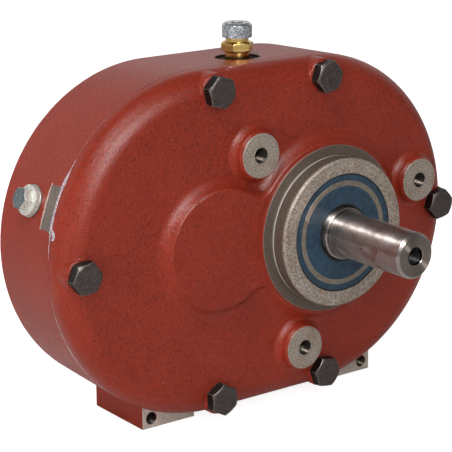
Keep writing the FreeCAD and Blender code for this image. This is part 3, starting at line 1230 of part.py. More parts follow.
def check(pieces):
    faults = [f"{thing.Name}: {thing.State}" for thing in doc.Objects
              if "Invalid" in thing.State or "Error" in thing.State]
    for label, piece in pieces.items():
        if piece.Shape.isNull() or not piece.Shape.isValid() or not piece.Shape.Solids:
            faults.append(f"{label}: no sound solid")
    if faults:
        raise RuntimeError("; ".join(faults))


pieces = make_all()
doc.recompute()
check(pieces)
os.makedirs("parts", exist_ok=True)
for label, piece in pieces.items():
    piece.Shape.exportStep(f"parts/{label}.step")
    print(label, len(piece.Shape.Solids), "solid", round(piece.Shape.Volume), "mm3")
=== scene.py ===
# %% [markdown]
# # A foot-mounted gearbox in red enamel
# The CAD model gives every casting, shaft and plug its true size and place. This lesson dresses it:
# a studio, finishes made from nodes, and the few small things that are quicker to model here than in
# CAD, such as screw threads and a bead of joint sealant.
# The frame is loaded first, and a helper gives the box of each of its pieces.

# %% Load the frame
import json
import math
import bpy
from mathutils import Matrix, Vector


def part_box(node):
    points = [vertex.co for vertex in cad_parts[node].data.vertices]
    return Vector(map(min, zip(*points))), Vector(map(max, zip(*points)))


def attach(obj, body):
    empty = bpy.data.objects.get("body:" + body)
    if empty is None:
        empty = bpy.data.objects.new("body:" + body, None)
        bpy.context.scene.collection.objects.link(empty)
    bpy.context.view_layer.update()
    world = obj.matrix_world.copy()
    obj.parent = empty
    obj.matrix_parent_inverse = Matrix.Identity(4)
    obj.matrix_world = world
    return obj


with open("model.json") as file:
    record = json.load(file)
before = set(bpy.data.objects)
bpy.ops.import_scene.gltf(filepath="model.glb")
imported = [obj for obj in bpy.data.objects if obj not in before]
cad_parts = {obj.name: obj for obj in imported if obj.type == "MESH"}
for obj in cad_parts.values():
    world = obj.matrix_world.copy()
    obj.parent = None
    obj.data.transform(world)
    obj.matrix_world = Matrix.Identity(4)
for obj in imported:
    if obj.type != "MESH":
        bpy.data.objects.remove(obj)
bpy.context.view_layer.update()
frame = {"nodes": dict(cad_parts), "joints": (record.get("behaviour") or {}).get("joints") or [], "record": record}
nodes = frame["nodes"]
scene = bpy.context.scene
MM = 0.001

# %% [markdown]
# ## Sizes from the frame
# The record names the places where the gearbox meets other machines. The finishes need a few of them:
# where turning marks are centred, and where screws go in. They are read from the record, so that a
# finish stays on its face when the model changes. Only the angles of the first boss and of the side
# plug are stated here, because no mount gives them.

# %% Read the places that finishes and threads need
mounts = {mount["name"]: mount for mount in frame["record"]["mounts"]}
pinion_x = next(j["pos_m"][0] for j in frame["joints"] if j["name"] == "pinion_shaft_turn")
boss_dims = mounts["flange_bosses"]["dims"]
boss_ring = boss_dims["pcd_mm"] * MM / 2
boss_core = boss_dims["hole_r_mm"] * MM
FIRST_BOSS = math.radians(15)
boss_places = []
for turn in range(boss_dims["count"]):
    angle = FIRST_BOSS + turn * math.tau / boss_dims["count"]
    boss_places.append(Vector((boss_ring * math.cos(angle), 0, boss_ring * math.sin(angle))))
foot_mount = mounts["foot_holes"]
foot_core = foot_mount["dims"]["hole_r_mm"] * MM
foot_places = []
for side in (-1, 1):
    offset = side * foot_mount["dims"]["spacing_x_mm"] * MM / 2
    foot_places.append(Vector(foot_mount["pos_m"]) + Vector((offset, 0, 0)))
sole_z = mounts["soles"]["pos_m"][2]
joint_y = foot_mount["pos_m"][1]
PORT_ANGLE = math.radians(160.3)
port_out = Vector((math.cos(PORT_ANGLE), 0, math.sin(PORT_ANGLE)))
print("bosses at", [tuple(round(v * 1000, 1) for v in place) for place in boss_places])

# %% [markdown]
# ## Camera
# The camera was fitted to the photograph: bolt heads, shaft end, bosses and plugs were measured in
# pixels, and one focal length, direction and distance puts all of them within a pixel. A long lens
# far away flattens the casing just as the photograph does. The matrix is built from its three axes,
# which is clearer than three Euler angles when there is a little roll.

# %% Place the camera
IMAGE_PIXELS = 452
FOCAL_PIXELS = 1748.495
SENSOR_MM = 36
azimuth, elevation, roll = (math.radians(a) for a in (36.398, 15.463, -0.403))
target = Vector((-0.096355, -0.0135, 0.021014))
distance = 1.092319
back = Vector((-math.sin(azimuth) * math.cos(elevation), -math.cos(azimuth) * math.cos(elevation),
               math.sin(elevation)))
level_right = Vector((math.cos(azimuth), -math.sin(azimuth), 0))
level_up = back.cross(level_right)
right = math.cos(roll) * level_right + math.sin(roll) * level_up
up = math.cos(roll) * level_up - math.sin(roll) * level_right
bpy.ops.object.select_all(action="DESELECT")
bpy.ops.object.camera_add()
camera = bpy.context.object
turned = Matrix((right, up, back)).transposed().to_4x4()
camera.matrix_world = Matrix.Translation(target + back * distance) @ turned
camera.data.sensor_width = SENSOR_MM
camera.data.lens = FOCAL_PIXELS * SENSOR_MM / IMAGE_PIXELS
scene.camera = camera
print("lens", round(camera.data.lens, 1), "mm")

# %% [markdown]
# ## Helpers for nodes
# Shader nodes can be dragged in the editor or added in code. In code, a few small helpers keep a
# material readable: one adds a node and fills or joins its inputs, one does arithmetic, and the others
# are the soft steps, blends and noise that nearly every finish needs.

# %% Helpers for nodes
def add(tree, kind, inputs=None, **options):
    """Adds a shader node, sets its options, and fills each named input with a value or a joined socket."""
    node = tree.nodes.new("ShaderNode" + kind)
    for option, value in options.items():
        setattr(node, option, value)
    for name, value in (inputs or {}).items():
        if isinstance(value, bpy.types.NodeSocket):
            tree.links.new(value, node.inputs[name])
        else:
            node.inputs[name].default_value = value
    return node


def maths(tree, operation, *values):
    """Arithmetic on sockets and numbers."""
    return add(tree, "Math", dict(enumerate(values)), operation=operation).outputs[0]


def opposite(tree, mask):
    """1 where a mask is 0, and 0 where it is 1."""
    return maths(tree, "SUBTRACT", 1.0, mask)


def step(tree, value, low, high):
    """A soft step: 0 below low, 1 above high."""
    inputs = {"Value": value, "From Min": low, "From Max": high}
    return add(tree, "MapRange", inputs, interpolation_type="SMOOTHSTEP").outputs[0]


def blend(tree, factor, first, second):
    """Goes from one colour to another."""
    return add(tree, "Mix", {0: factor, 6: first, 7: second}, data_type="RGBA").outputs[2]


def fade(tree, factor, first, second):
    """Goes from one number to another."""
    return add(tree, "Mix", {0: factor, 2: first, 3: second}).outputs[0]


def noise(tree, where, scale, detail=2.0, roughness=0.5):
    """Cloudy noise around 0.5."""
    inputs = {"Vector": where, "Scale": scale, "Detail": detail, "Roughness": roughness}
    return add(tree, "TexNoise", inputs).outputs[0]


def paint(red, green, blue):
    """A colour as a picture file gives it, 0 to 255, made linear for a shader."""
    linear = [((v / 255 + 0.055) / 1.055) ** 2.4 if v > 10 else v / 255 / 12.92 for v in (red, green, blue)]
    return (*linear, 1.0)


print("mid enamel in linear light", [round(v, 3) for v in paint(139, 48, 36)])

# %% [markdown]
# ## Studio
# The photograph is a shop picture: white all round, with soft light from above and from the left.
# The white is only for the camera, and reflections see levels of their own, so that it doesn't flood the
# object with light. In reflections the low backdrop behind the casing is pale, most of all in the band
# above the horizon that the casing's top mirrors. The room behind the camera and the ceiling are dark,
# which keeps the enamel's red deep and gives polished steel its dark bands.

# %% World
def ray_kinds(tree):
    """Masks of what the camera sees, and of what is seen in reflections or through clear things."""
    ray = add(tree, "LightPath").outputs
    return ray["Is Camera Ray"], maths(tree, "MAXIMUM", ray["Is Glossy Ray"], ray["Is Transmission Ray"])


AMBIENT = 0.22
ROOM_LEVEL = 0.14
BACKDROP_LEVEL = 0.32
HORIZON_LEVEL = 0.8
world = bpy.data.worlds.new("studio")
scene.world = world
world.use_nodes = True
tree = world.node_tree
tree.nodes.clear()
by_camera, mirrored = ray_kinds(tree)
facing = add(tree, "SeparateXYZ", {0: add(tree, "TexCoord").outputs["Generated"]})
behind = step(tree, facing.outputs["Y"], -0.5, 0.5)
above = step(tree, facing.outputs["Z"], 0.35, 0.62)
backdrop = maths(tree, "MULTIPLY", behind, opposite(tree, above))
horizon = step(tree, facing.outputs["Z"], 0.02, 0.15)
room = fade(tree, backdrop, ROOM_LEVEL, fade(tree, horizon, BACKDROP_LEVEL, HORIZON_LEVEL))
strength = fade(tree, mirrored, AMBIENT, room)
strength = fade(tree, by_camera, strength, 1.0)
background = add(tree, "Background", {"Color": (1, 1, 1, 1), "Strength": strength})
add(tree, "OutputWorld", {"Surface": background.outputs[0]})
scene.view_settings.view_transform = "Standard"
print("ambient light", AMBIENT)

# %% [markdown]
# ## Floor
# A wide pale floor lies under the feet. Light of its own lifts it to white for the camera, as in the
# photograph, and a trace of it shows in reflections. Other rays don't see that light, so the floor keeps
# a soft shadow and the object isn't lit by it. From below the floor is clear, so that the soles can be
# inspected.

# %% Floor
FLOOR_SIZE = 24
FLOOR_GAP = 0.2 * MM
CAMERA_GLOW = 0.86
MIRROR_GLOW = 0.05
FLOOR_GREY = (0.8, 0.8, 0.8, 1)
bpy.ops.object.select_all(action="DESELECT")
bpy.ops.mesh.primitive_plane_add(size=FLOOR_SIZE, location=(0, 0, sole_z - FLOOR_GAP))
floor = bpy.context.object
floor.name = "floor"
floor_finish = bpy.data.materials.new("pale_floor")
floor_finish.use_nodes = True
tree = floor_finish.node_tree
tree.nodes.clear()
by_camera, mirrored = ray_kinds(tree)
seen = maths(tree, "MAXIMUM", maths(tree, "MULTIPLY", by_camera, CAMERA_GLOW),
             maths(tree, "MULTIPLY", mirrored, MIRROR_GLOW))
matt = add(tree, "BsdfDiffuse", {"Color": FLOOR_GREY})
glow = add(tree, "Emission", {"Color": (1, 1, 1, 1), "Strength": seen})
lit = add(tree, "AddShader", {0: matt.outputs[0], 1: glow.outputs[0]})
clear = add(tree, "BsdfTransparent")
under = add(tree, "NewGeometry").outputs["Backfacing"]
top = add(tree, "MixShader", {0: under, 1: lit.outputs[0], 2: clear.outputs[0]})
add(tree, "OutputMaterial", {"Surface": top.outputs[0]})
floor.data.materials.append(floor_finish)
print("floor at", round(floor.location.z * 1000, 1), "mm")

# %% [markdown]
# ## Lamps
# Four soft boxes light the casing: a large one beside the camera, a key over the casing's left end, a
# fill low on the left and one behind. The key grazes the cover, so that it lights most what rises from
# it: the shoulder, the edge of the land and the feet of the bosses. The fill and the rear lamp are kept
# out of reflections, and two more lamps are seen in reflections alone: they set the strength of the
# highlights and the white streak along the shaft. None of the lamps that show in reflections stands
# where the flat front of the cover would mirror it, because that would lay a grey haze over the red.

# %% Lamps
LAMP_AIM = Vector((-0.04, 0.02, 0))
KEY_PLACE = (-0.69, -0.31, 1.08)
KEY_SIZE = 0.17


def softbox(name, place, size, watts, diffuse=True, glossy=True):
    """A square area lamp that faces the casing. It may be kept out of diffuse light or of reflections."""
    bpy.ops.object.light_add(type="AREA", location=place)
    lamp = bpy.context.object
    lamp.name = name
    aim = LAMP_AIM - lamp.location
    lamp.rotation_euler = aim.to_track_quat("-Z", "Y").to_euler()
    lamp.data.size = size
    lamp.data.energy = watts
    lamp.visible_diffuse = diffuse
    lamp.visible_glossy = glossy
    return lamp


lamps = [
    softbox("front", (-0.44, -1.34, 0.74), 1.0, 6.2),
    softbox("key", KEY_PLACE, KEY_SIZE, 4.2),
    softbox("fill", (-1.5, -0.4, 0.0), 0.8, 11, glossy=False),
    softbox("rear", (-0.3, 1.5, 1.2), 0.9, 6, glossy=False),
    softbox("key_gloss", KEY_PLACE, KEY_SIZE, 5, diffuse=False),
    softbox("front_gloss", (-0.4, -1.05, 0.8), 0.25, 18, diffuse=False),
]
print(len(lamps), "lamps")

# %% [markdown]
# ## Cast skin
# Sand casting leaves a grain that enamel follows: pimples about a millimetre across, broader waves, and
# slow changes over a few centimetres. A displaced mesh would need millions of faces for
# that, so it is a node group that puts out one height for bump and masks for pimples, pits, specks of
# dust and drift.

# %% Group: cast skin
def new_group(name, inputs, outputs):
    """An empty node group with named sockets. Gives the group, its inputs and the node to join outputs to."""
    group = bpy.data.node_groups.new(name, "ShaderNodeTree")
    for socket, kind, value in inputs:
        made = group.interface.new_socket(socket, in_out="INPUT", socket_type=kind)
        made.default_value = value
    for socket, kind in outputs:
        group.interface.new_socket(socket, in_out="OUTPUT", socket_type=kind)
    start = group.nodes.new("NodeGroupInput")
    end = group.nodes.new("NodeGroupOutput")
    return group, start.outputs, end


def join(tree, end, **sockets):
    """Joins sockets to a group's outputs."""
    for name, socket in sockets.items():
        tree.links.new(socket, end.inputs[name])


def use(tree, group, inputs=None):
    """Places a group in a material and gives its outputs."""
    return add(tree, "Group", inputs, node_tree=group).outputs


FLOAT = "NodeSocketFloat"
COLOUR = "NodeSocketColor"
NORMAL = "NodeSocketVector"
cast_skin, given, end = new_group(
    "cast_skin", [("Grain", FLOAT, 950.0)],
    [("Height", FLOAT), ("Speckle", FLOAT), ("Pits", FLOAT), ("Dust", FLOAT), ("Drift", FLOAT)])
place = add(cast_skin, "TexCoord").outputs["Object"]
pimples = noise(cast_skin, place, given["Grain"], 2.0, 0.65)
waves = noise(cast_skin, place, 260.0, 2.0)
drift = noise(cast_skin, place, 22.0, 3.0)
height = maths(cast_skin, "MULTIPLY_ADD", waves, 0.25, maths(cast_skin, "MULTIPLY", pimples, 0.75))
pits = opposite(cast_skin, step(cast_skin, pimples, 0.3, 0.47))
speckle = step(cast_skin, pimples, 0.5, 0.66)
dust = step(cast_skin, noise(cast_skin, place, 640.0, 1.0), 0.75, 0.82)
join(cast_skin, end, Height=height, Speckle=speckle, Pits=pits, Dust=dust,
     Drift=step(cast_skin, drift, 0.3, 0.7))
print("cast skin:", len(cast_skin.nodes), "nodes")

# %% [markdown]
# ## Worn edges
# Paint and oxide wear off first where edges are sharp. The Bevel node gives the normal that a rounded
# edge would have, and where that leaves the true normal there is an edge. Noise breaks the line up.

# %% Group: worn edges
worn_edges, given, end = new_group("worn_edges", [("Width", FLOAT, 0.6 * MM), ("Breaks", FLOAT, 700.0)],
                                   [("Mask", FLOAT), ("Normal", NORMAL)])
rounded = add(worn_edges, "Bevel", {"Radius": given["Width"]}, samples=6).outputs[0]
true_normal = add(worn_edges, "NewGeometry").outputs["Normal"]
agree = add(worn_edges, "VectorMath", {0: rounded, 1: true_normal}, operation="DOT_PRODUCT").outputs["Value"]
place = add(worn_edges, "TexCoord").outputs["Object"]
breaks = noise(worn_edges, place, given["Breaks"], 3.0, 0.6)
edge = opposite(worn_edges, agree)
edge = maths(worn_edges, "MULTIPLY", edge, maths(worn_edges, "MULTIPLY", breaks, 2.0))
join(worn_edges, end, Mask=step(worn_edges, edge, 0.05, 0.28), Normal=rounded)
print("worn edges:", len(worn_edges.nodes), "nodes")

# %% [markdown]
# ## Turned iron
# The flange, the spigot and the bosses were faced on a lathe or with a spot facer, which leaves fine
# rings about the tool's axis. The group takes the distance from that axis. One noise along that
# distance alone gives rings of uneven depth, and a slow noise over the face gives the brown oxide that
# bare iron gets in stock.

# %% Group: turned iron
turned_iron, given, end = new_group("turned_iron", [("Distance", FLOAT, 0.0), ("Rings", FLOAT, 2600.0)],
                                    [("Colour", COLOUR), ("Height", FLOAT), ("Roughness", FLOAT)])
along = maths(turned_iron, "MULTIPLY", given["Distance"], given["Rings"])
uneven = {"W": along, "Scale": 1.0, "Detail": 2.0}
rings = add(turned_iron, "TexNoise", uneven, noise_dimensions="1D").outputs[0]
place = add(turned_iron, "TexCoord").outputs["Object"]
stain = noise(turned_iron, place, 90.0, 4.0, 0.6)
grit = noise(turned_iron, place, 1000.0, 2.0, 0.6)
pores = opposite(turned_iron, step(turned_iron, grit, 0.32, 0.5))
glints = step(turned_iron, grit, 0.55, 0.68)
iron = blend(turned_iron, step(turned_iron, rings, 0.3, 0.7), paint(136, 122, 110), paint(202, 187, 173))
iron = blend(turned_iron, step(turned_iron, stain, 0.45, 0.75), iron, paint(158, 136, 114))
iron = blend(turned_iron, maths(turned_iron, "MULTIPLY", pores, 0.7), iron, paint(86, 77, 70))
iron = blend(turned_iron, maths(turned_iron, "MULTIPLY", glints, 0.6), iron, paint(232, 222, 210))
dull = fade(turned_iron, stain, 0.34, 0.56)
join(turned_iron, end, Colour=iron, Height=rings, Roughness=dull)
print("turned iron:", len(turned_iron.nodes), "nodes")

# %% [markdown]
# ## Enamelled casting
# Both halves of the casing are one finish: red enamel over the cast skin, with bare iron where a tool
# has been. Each half says where it is bare, and this group mixes the two and thins the paint at edges.

# %% Group: enamelled casting
enamelled, given, end = new_group(
    "enamelled_casting",
    [("Bare", FLOAT, 0.0), ("Chip", FLOAT, 0.0), ("Iron", COLOUR, (0.3, 0.3, 0.3, 1)),
     ("Iron Roughness", FLOAT, 0.4), ("Iron Height", FLOAT, 0.5)],
    [("Colour", COLOUR), ("Roughness", FLOAT), ("Metallic", FLOAT), ("Height", FLOAT), ("Normal", NORMAL)])
skin = use(enamelled, cast_skin)
wear = use(enamelled, worn_edges, {"Width": 0.9 * MM})
red = blend(enamelled, skin["Drift"], paint(146, 43, 22), paint(156, 48, 27))
red = blend(enamelled, maths(enamelled, "MULTIPLY", skin["Pits"], 0.68), red, paint(86, 24, 15))
red = blend(enamelled, maths(enamelled, "MULTIPLY", skin["Speckle"], 0.4), red, paint(196, 80, 58))
red = blend(enamelled, maths(enamelled, "MULTIPLY", skin["Dust"], 0.5), red, paint(220, 150, 136))
red = blend(enamelled, maths(enamelled, "MULTIPLY", wear["Mask"], 0.35), red, paint(196, 120, 108))
# Pale where the paint is chipped; the cover also sends a painted sheen on its rim through this input.
red = blend(enamelled, given["Chip"], red, paint(212, 182, 174))
# Painted highlight: edges of bare iron are painted paler, where a rounded edge would catch the lamp.
iron = blend(enamelled, maths(enamelled, "MULTIPLY", wear["Mask"], 0.6), given["Iron"], paint(226, 220, 210))
colour = blend(enamelled, given["Bare"], red, iron)
gloss = fade(enamelled, skin["Speckle"], 0.34, 0.25)
roughness = fade(enamelled, given["Bare"], gloss, given["Iron Roughness"])
metallic = maths(enamelled, "MULTIPLY", given["Bare"], 0.35)
iron_relief = maths(enamelled, "MULTIPLY", given["Iron Height"], 0.35)
relief = fade(enamelled, given["Bare"], skin["Height"], iron_relief)
join(enamelled, end, Colour=colour, Roughness=roughness, Metallic=metallic, Height=relief,
     Normal=wear["Normal"])
print("enamelled casting:", len(enamelled.nodes), "nodes")

# %% [markdown]
# ## Front cover
# Everything in front of the flange plane was machined: the flange, the spigot and the three boss
# faces. So the cover is bare where Y is below zero, and painted behind that, with a ragged line where
# the brush stopped. Turning marks are centred on the shaft inside the flange, and on the nearest boss
# elsewhere. Towards the root of the spigot the iron is painted darker, as shade in the corner, up to a
# thin line painted bright as a highlight at the relief, and the wall of each tapped hole is painted dark,
# as shade. Low down, the rim's rear edge is painted pale, as a sheen where the rim turns away.

# %% Finish of the front cover
def new_finish(name, shine=0.5):
    """A material with its node tree and its Principled shader."""
    finish = bpy.data.materials.new(name)
    finish.use_nodes = True
    tree = finish.node_tree
    shader = tree.nodes["Principled BSDF"]
    shader.inputs["Specular IOR Level"].default_value = shine
    return finish, tree, shader


def apply_surface(tree, shader, colour, roughness, metallic, height, depth, normal=None):
    """Joins the changing values to the shader, with the height as bump over the rounded normal."""
    for socket, name in ((colour, "Base Color"), (roughness, "Roughness"), (metallic, "Metallic")):
        if socket is not None:
            tree.links.new(socket, shader.inputs[name])
    bump = add(tree, "Bump", {"Height": height, "Distance": depth, "Strength": 1.0})
    if normal is not None:
        tree.links.new(normal, bump.inputs["Normal"])
    tree.links.new(bump.outputs[0], shader.inputs["Normal"])


def apply_enamel(tree, shader, bare, chip_and_sheen, iron, iron_colour):
    """Joins an enamelled casting to the shader: where it is bare, where it is chipped and where it carries a
    painted sheen, and its iron.
    """
    surface = use(tree, enamelled, {"Bare": bare, "Chip": chip_and_sheen, "Iron": iron_colour,
                                    "Iron Roughness": iron["Roughness"], "Iron Height": iron["Height"]})
    apply_surface(tree, shader, surface["Colour"], surface["Roughness"], surface["Metallic"],
                  surface["Height"], SKIN_DEPTH, surface["Normal"])


def coordinates(tree):
    """The place on a piece, its X, Y and Z, and the place as a front view shows it, without Y."""
    place = add(tree, "TexCoord").outputs["Object"]
    part = add(tree, "SeparateXYZ", {0: place}).outputs
    front_view = add(tree, "CombineXYZ", {0: part["X"], 2: part["Z"]}).outputs[0]
    return place, part, front_view


def view_distance(tree, view, centre):
    """Distance in metres from a centre, as a view shows it."""
    return add(tree, "VectorMath", {0: view, 1: centre}, operation="DISTANCE").outputs["Value"]


ENAMEL_SHINE = 0.3
SKIN_DEPTH = 0.4 * MM
BRUSH_WANDER = 0.7 * MM
BARE_TO, PAINT_FROM = 0.45 * MM, 0.65 * MM
FLANGE_REACH = 60 * MM
HOLE_SHADE_RIM = 0.2 * MM
ROOT_SHADE_FROM, ROOT_SHADE_FULL = -13 * MM, -10 * MM
HIGHLIGHT_LINE_Y, HIGHLIGHT_LINE_HALF_WIDTH = -2.1 * MM, 0.55 * MM
SHEEN_FROM, SHEEN_FULL = 2.2 * MM, 1.2 * MM
SHEEN_LOW, SHEEN_HIGH = -60 * MM, -25 * MM
cover_finish, tree, shader = new_finish("red_enamel_cover", ENAMEL_SHINE)
place, part, front_view = coordinates(tree)
ragged = maths(tree, "MULTIPLY_ADD", noise(tree, place, 420.0, 3.0), BRUSH_WANDER, part["Y"])
bare = opposite(tree, step(tree, ragged, BARE_TO, PAINT_FROM))
from_shaft = view_distance(tree, front_view, (0, 0, 0))
near_boss = view_distance(tree, front_view, boss_places[0])
for centre in boss_places[1:]:
    near_boss = maths(tree, "MINIMUM", near_boss, view_distance(tree, front_view, centre))
on_boss = maths(tree, "GREATER_THAN", from_shaft, FLANGE_REACH)
on_flange = opposite(tree, on_boss)
ring_place = maths(tree, "ADD", fade(tree, on_boss, from_shaft, near_boss), part["Y"])
iron = use(tree, turned_iron, {"Distance": ring_place})
in_hole = maths(tree, "LESS_THAN", near_boss, boss_core + HOLE_SHADE_RIM)
# Painted shade: the iron is darker towards the root of the spigot, where the corner is shaded.
painted_root_shade = maths(tree, "MULTIPLY", step(tree, part["Y"], ROOT_SHADE_FROM, ROOT_SHADE_FULL), on_flange)
iron_colour = blend(tree, maths(tree, "MULTIPLY", painted_root_shade, 0.76), iron["Colour"], paint(80, 66, 56))
# Painted highlight: a thin bright line round the spigot at its relief.
lip = maths(tree, "MULTIPLY", maths(tree, "COMPARE", part["Y"], HIGHLIGHT_LINE_Y, HIGHLIGHT_LINE_HALF_WIDTH), on_flange)
iron_colour = blend(tree, lip, iron_colour, paint(242, 238, 230))
# Painted shade: the wall of each tapped hole is painted dark.
iron_colour = blend(tree, in_hole, iron_colour, paint(40, 35, 31))
bare = maths(tree, "MAXIMUM", bare, in_hole)
# Painted sheen: low down, the rim's rear edge is painted pale where the rim turns away.
rim_edge = step(tree, part["Y"], joint_y - SHEEN_FROM, joint_y - SHEEN_FULL)
low_down = opposite(tree, step(tree, part["Z"], SHEEN_LOW, SHEEN_HIGH))
painted_rim_sheen = step(tree, noise(tree, place, 160.0, 3.0), 0.36, 0.5)
painted_rim_sheen = maths(tree, "MULTIPLY", painted_rim_sheen, maths(tree, "MULTIPLY", rim_edge, low_down))
apply_enamel(tree, shader, bare, maths(tree, "MULTIPLY", painted_rim_sheen, 0.9), iron, iron_colour)
print("front cover:", len(tree.nodes), "nodes")

# %% [markdown]
# ## Housing
# The rear half is painted all over and then milled: the front faces of the feet, their soles, the
# flat beside the joint, the breather's seat and the boss round the rear shaft.
# Each is a plane, so a few soft steps on the coordinates find it. No mount gives the flat's size, so it is
# stated here. Along the flat the cutter tore the paint, and pale filler shows in the chips.

# %% Finish of the housing
FLAT_HALF_WIDTH = 14.3 * MM
FLAT_LENGTH = 13.2 * MM
FLAT_REACH = 111.5 * MM
SEAT_RADIUS = 15.05 * MM
HIGH_UP = 60 * MM
CUT_TO, PAINTED_FROM = 0.1 * MM, 0.3 * MM
REAR_CUT_TO, REAR_PAINTED_FROM = 0.2 * MM, 0.4 * MM
TEAR = 1.4 * MM
TORN_EDGE = 0.2 * MM
CHIP_FULL, CHIP_END = 0.35 * MM, 0.6 * MM
CHIP_START = 1 * MM
FOOT_LOW, FOOT_TOP = -40 * MM, 0.0
housing_finish, tree, shader = new_finish("red_enamel_housing", ENAMEL_SHINE)
place, part, front_view = coordinates(tree)
top_view = add(tree, "CombineXYZ", {0: part["X"], 1: part["Y"]}).outputs[0]
rear_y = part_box("housing")[1].y
tear = maths(tree, "MULTIPLY", maths(tree, "SUBTRACT", noise(tree, place, 520.0, 3.0), 0.5), TEAR)
from_pinion = maths(tree, "SUBTRACT", part["X"], pinion_x)
rise_outwards = maths(tree, "MULTIPLY", part["Z"], port_out.z)
outwards = maths(tree, "MULTIPLY_ADD", from_pinion, port_out.x, rise_outwards)
rise_across = maths(tree, "MULTIPLY", part["Z"], port_out.x)
across = maths(tree, "MULTIPLY_ADD", from_pinion, -port_out.z, rise_across)
side = maths(tree, "SUBTRACT", maths(tree, "ABSOLUTE", across), FLAT_HALF_WIDTH)
rear = maths(tree, "SUBTRACT", part["Y"], joint_y + FLAT_LENGTH)
past_flat = maths(tree, "ADD", maths(tree, "MAXIMUM", side, rear), tear)
far_out = maths(tree, "GREATER_THAN", outwards, FLAT_REACH)
on_flat = maths(tree, "MULTIPLY", far_out, opposite(tree, step(tree, past_flat, -TORN_EDGE, 0.0)))
chipped = maths(tree, "MULTIPLY", far_out, opposite(tree, step(tree, past_flat, CHIP_FULL, CHIP_END)))
chipped = maths(tree, "MULTIPLY", chipped, maths(tree, "GREATER_THAN", rear, -CHIP_START))
foot_front = opposite(tree, step(tree, part["Y"], joint_y + CUT_TO, joint_y + PAINTED_FROM))
low_down = opposite(tree, step(tree, part["Z"], FOOT_LOW, FOOT_TOP))
foot_front = maths(tree, "MULTIPLY", foot_front, low_down)
sole = opposite(tree, step(tree, part["Z"], sole_z + CUT_TO, sole_z + PAINTED_FROM))
rear_boss = step(tree, part["Y"], rear_y - REAR_PAINTED_FROM, rear_y - REAR_CUT_TO)
breather = sum(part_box("breather_body"), Vector()) / 2
by_breather = view_distance(tree, top_view, (breather.x, breather.y, 0))
seat = maths(tree, "MULTIPLY", maths(tree, "GREATER_THAN", part["Z"], HIGH_UP),
             maths(tree, "LESS_THAN", by_breather, SEAT_RADIUS))
bare = on_flat
for face in (foot_front, sole, rear_boss, seat):
    bare = maths(tree, "MAXIMUM", bare, face)
ring_place = maths(tree, "ADD", view_distance(tree, front_view, (pinion_x, 0, 0)), part["Y"])
mark_place = fade(tree, rear_boss, part["Y"], ring_place)
iron = use(tree, turned_iron, {"Distance": mark_place, "Rings": 1500.0})
iron_colour = blend(tree, maths(tree, "MULTIPLY", on_flat, 0.7), iron["Colour"], paint(100, 90, 84))
# Painted shade: the bare iron of the breather's seat is painted dark, as shade in its recess.
iron_colour = blend(tree, seat, iron_colour, paint(64, 44, 38))
# Painted light: the iron of the feet's front faces is painted lighter.
iron_colour = blend(tree, maths(tree, "MULTIPLY", foot_front, 0.45), iron_colour, paint(240, 230, 218))
apply_enamel(tree, shader, bare, chipped, iron, iron_colour)
print("housing:", len(tree.nodes), "nodes")

# %% [markdown]
# ## Steels
# The other metals differ in colour, gloss and the marks of how they were made: ground shafts carry
# fine rings round their axis, black bolts are forged and wear bright at their edges, zinc plate has a
# cloudy bloom. One function builds them from the shared groups, and each gets its own values.

# %% Finishes of the steels
def steel(name, colour, tint, roughness, marks="cloud", mark_scale=300.0, depth=0.02, wear=0.0,
          worn=(200, 196, 190), ends=None, metallic=1.0, edge=0.5, rounded=True):
    """A metal with two close colours, marks of its making and worn edges. Depth and edge are in
    millimetres. Ends gives a direction, two colours for the faces that look that way or the other way,
    and how far out they start. Rounded shades the edges as if they were rounded."""
    finish, tree, shader = new_finish(name)
    shader.inputs["Metallic"].default_value = metallic
    place = add(tree, "TexCoord").outputs["Object"]
    stretch = {"cloud": (1, 1, 1), "along_y": (0.02, 1, 0.02), "along_z": (0.02, 0.02, 1)}[marks]
    stretched = add(tree, "Mapping", {"Vector": place, "Scale": stretch}).outputs[0]
    pattern = noise(tree, stretched, mark_scale, 3.0, 0.6)
    cloud = noise(tree, place, 120.0, 3.0)
    edges = use(tree, worn_edges, {"Width": edge * MM})
    shade = blend(tree, step(tree, pattern, 0.3, 0.7), paint(*colour), paint(*tint))
    if ends:
        direction, end_colour, end_tint, start = ends
        outside = add(tree, "NewGeometry").outputs["Normal"]
        looks = add(tree, "VectorMath", {0: outside, 1: direction}, operation="DOT_PRODUCT").outputs["Value"]
        reach = add(tree, "VectorMath", {0: place, 1: direction}, operation="DOT_PRODUCT").outputs["Value"]
        square = maths(tree, "MULTIPLY", step(tree, maths(tree, "ABSOLUTE", looks), 0.75, 0.86),
                       maths(tree, "GREATER_THAN", reach, start))
        end_shade = blend(tree, step(tree, pattern, 0.38, 0.72), paint(*end_colour), paint(*end_tint))
        shade = blend(tree, square, shade, end_shade)
    shade = blend(tree, maths(tree, "MULTIPLY", edges["Mask"], wear), shade, paint(*worn))
    gloss = fade(tree, step(tree, cloud, 0.3, 0.7), roughness * 0.8, roughness * 1.25)
    normal = edges["Normal"] if rounded else None
    apply_surface(tree, shader, shade, gloss, None, pattern, depth * MM, normal)
    return finish


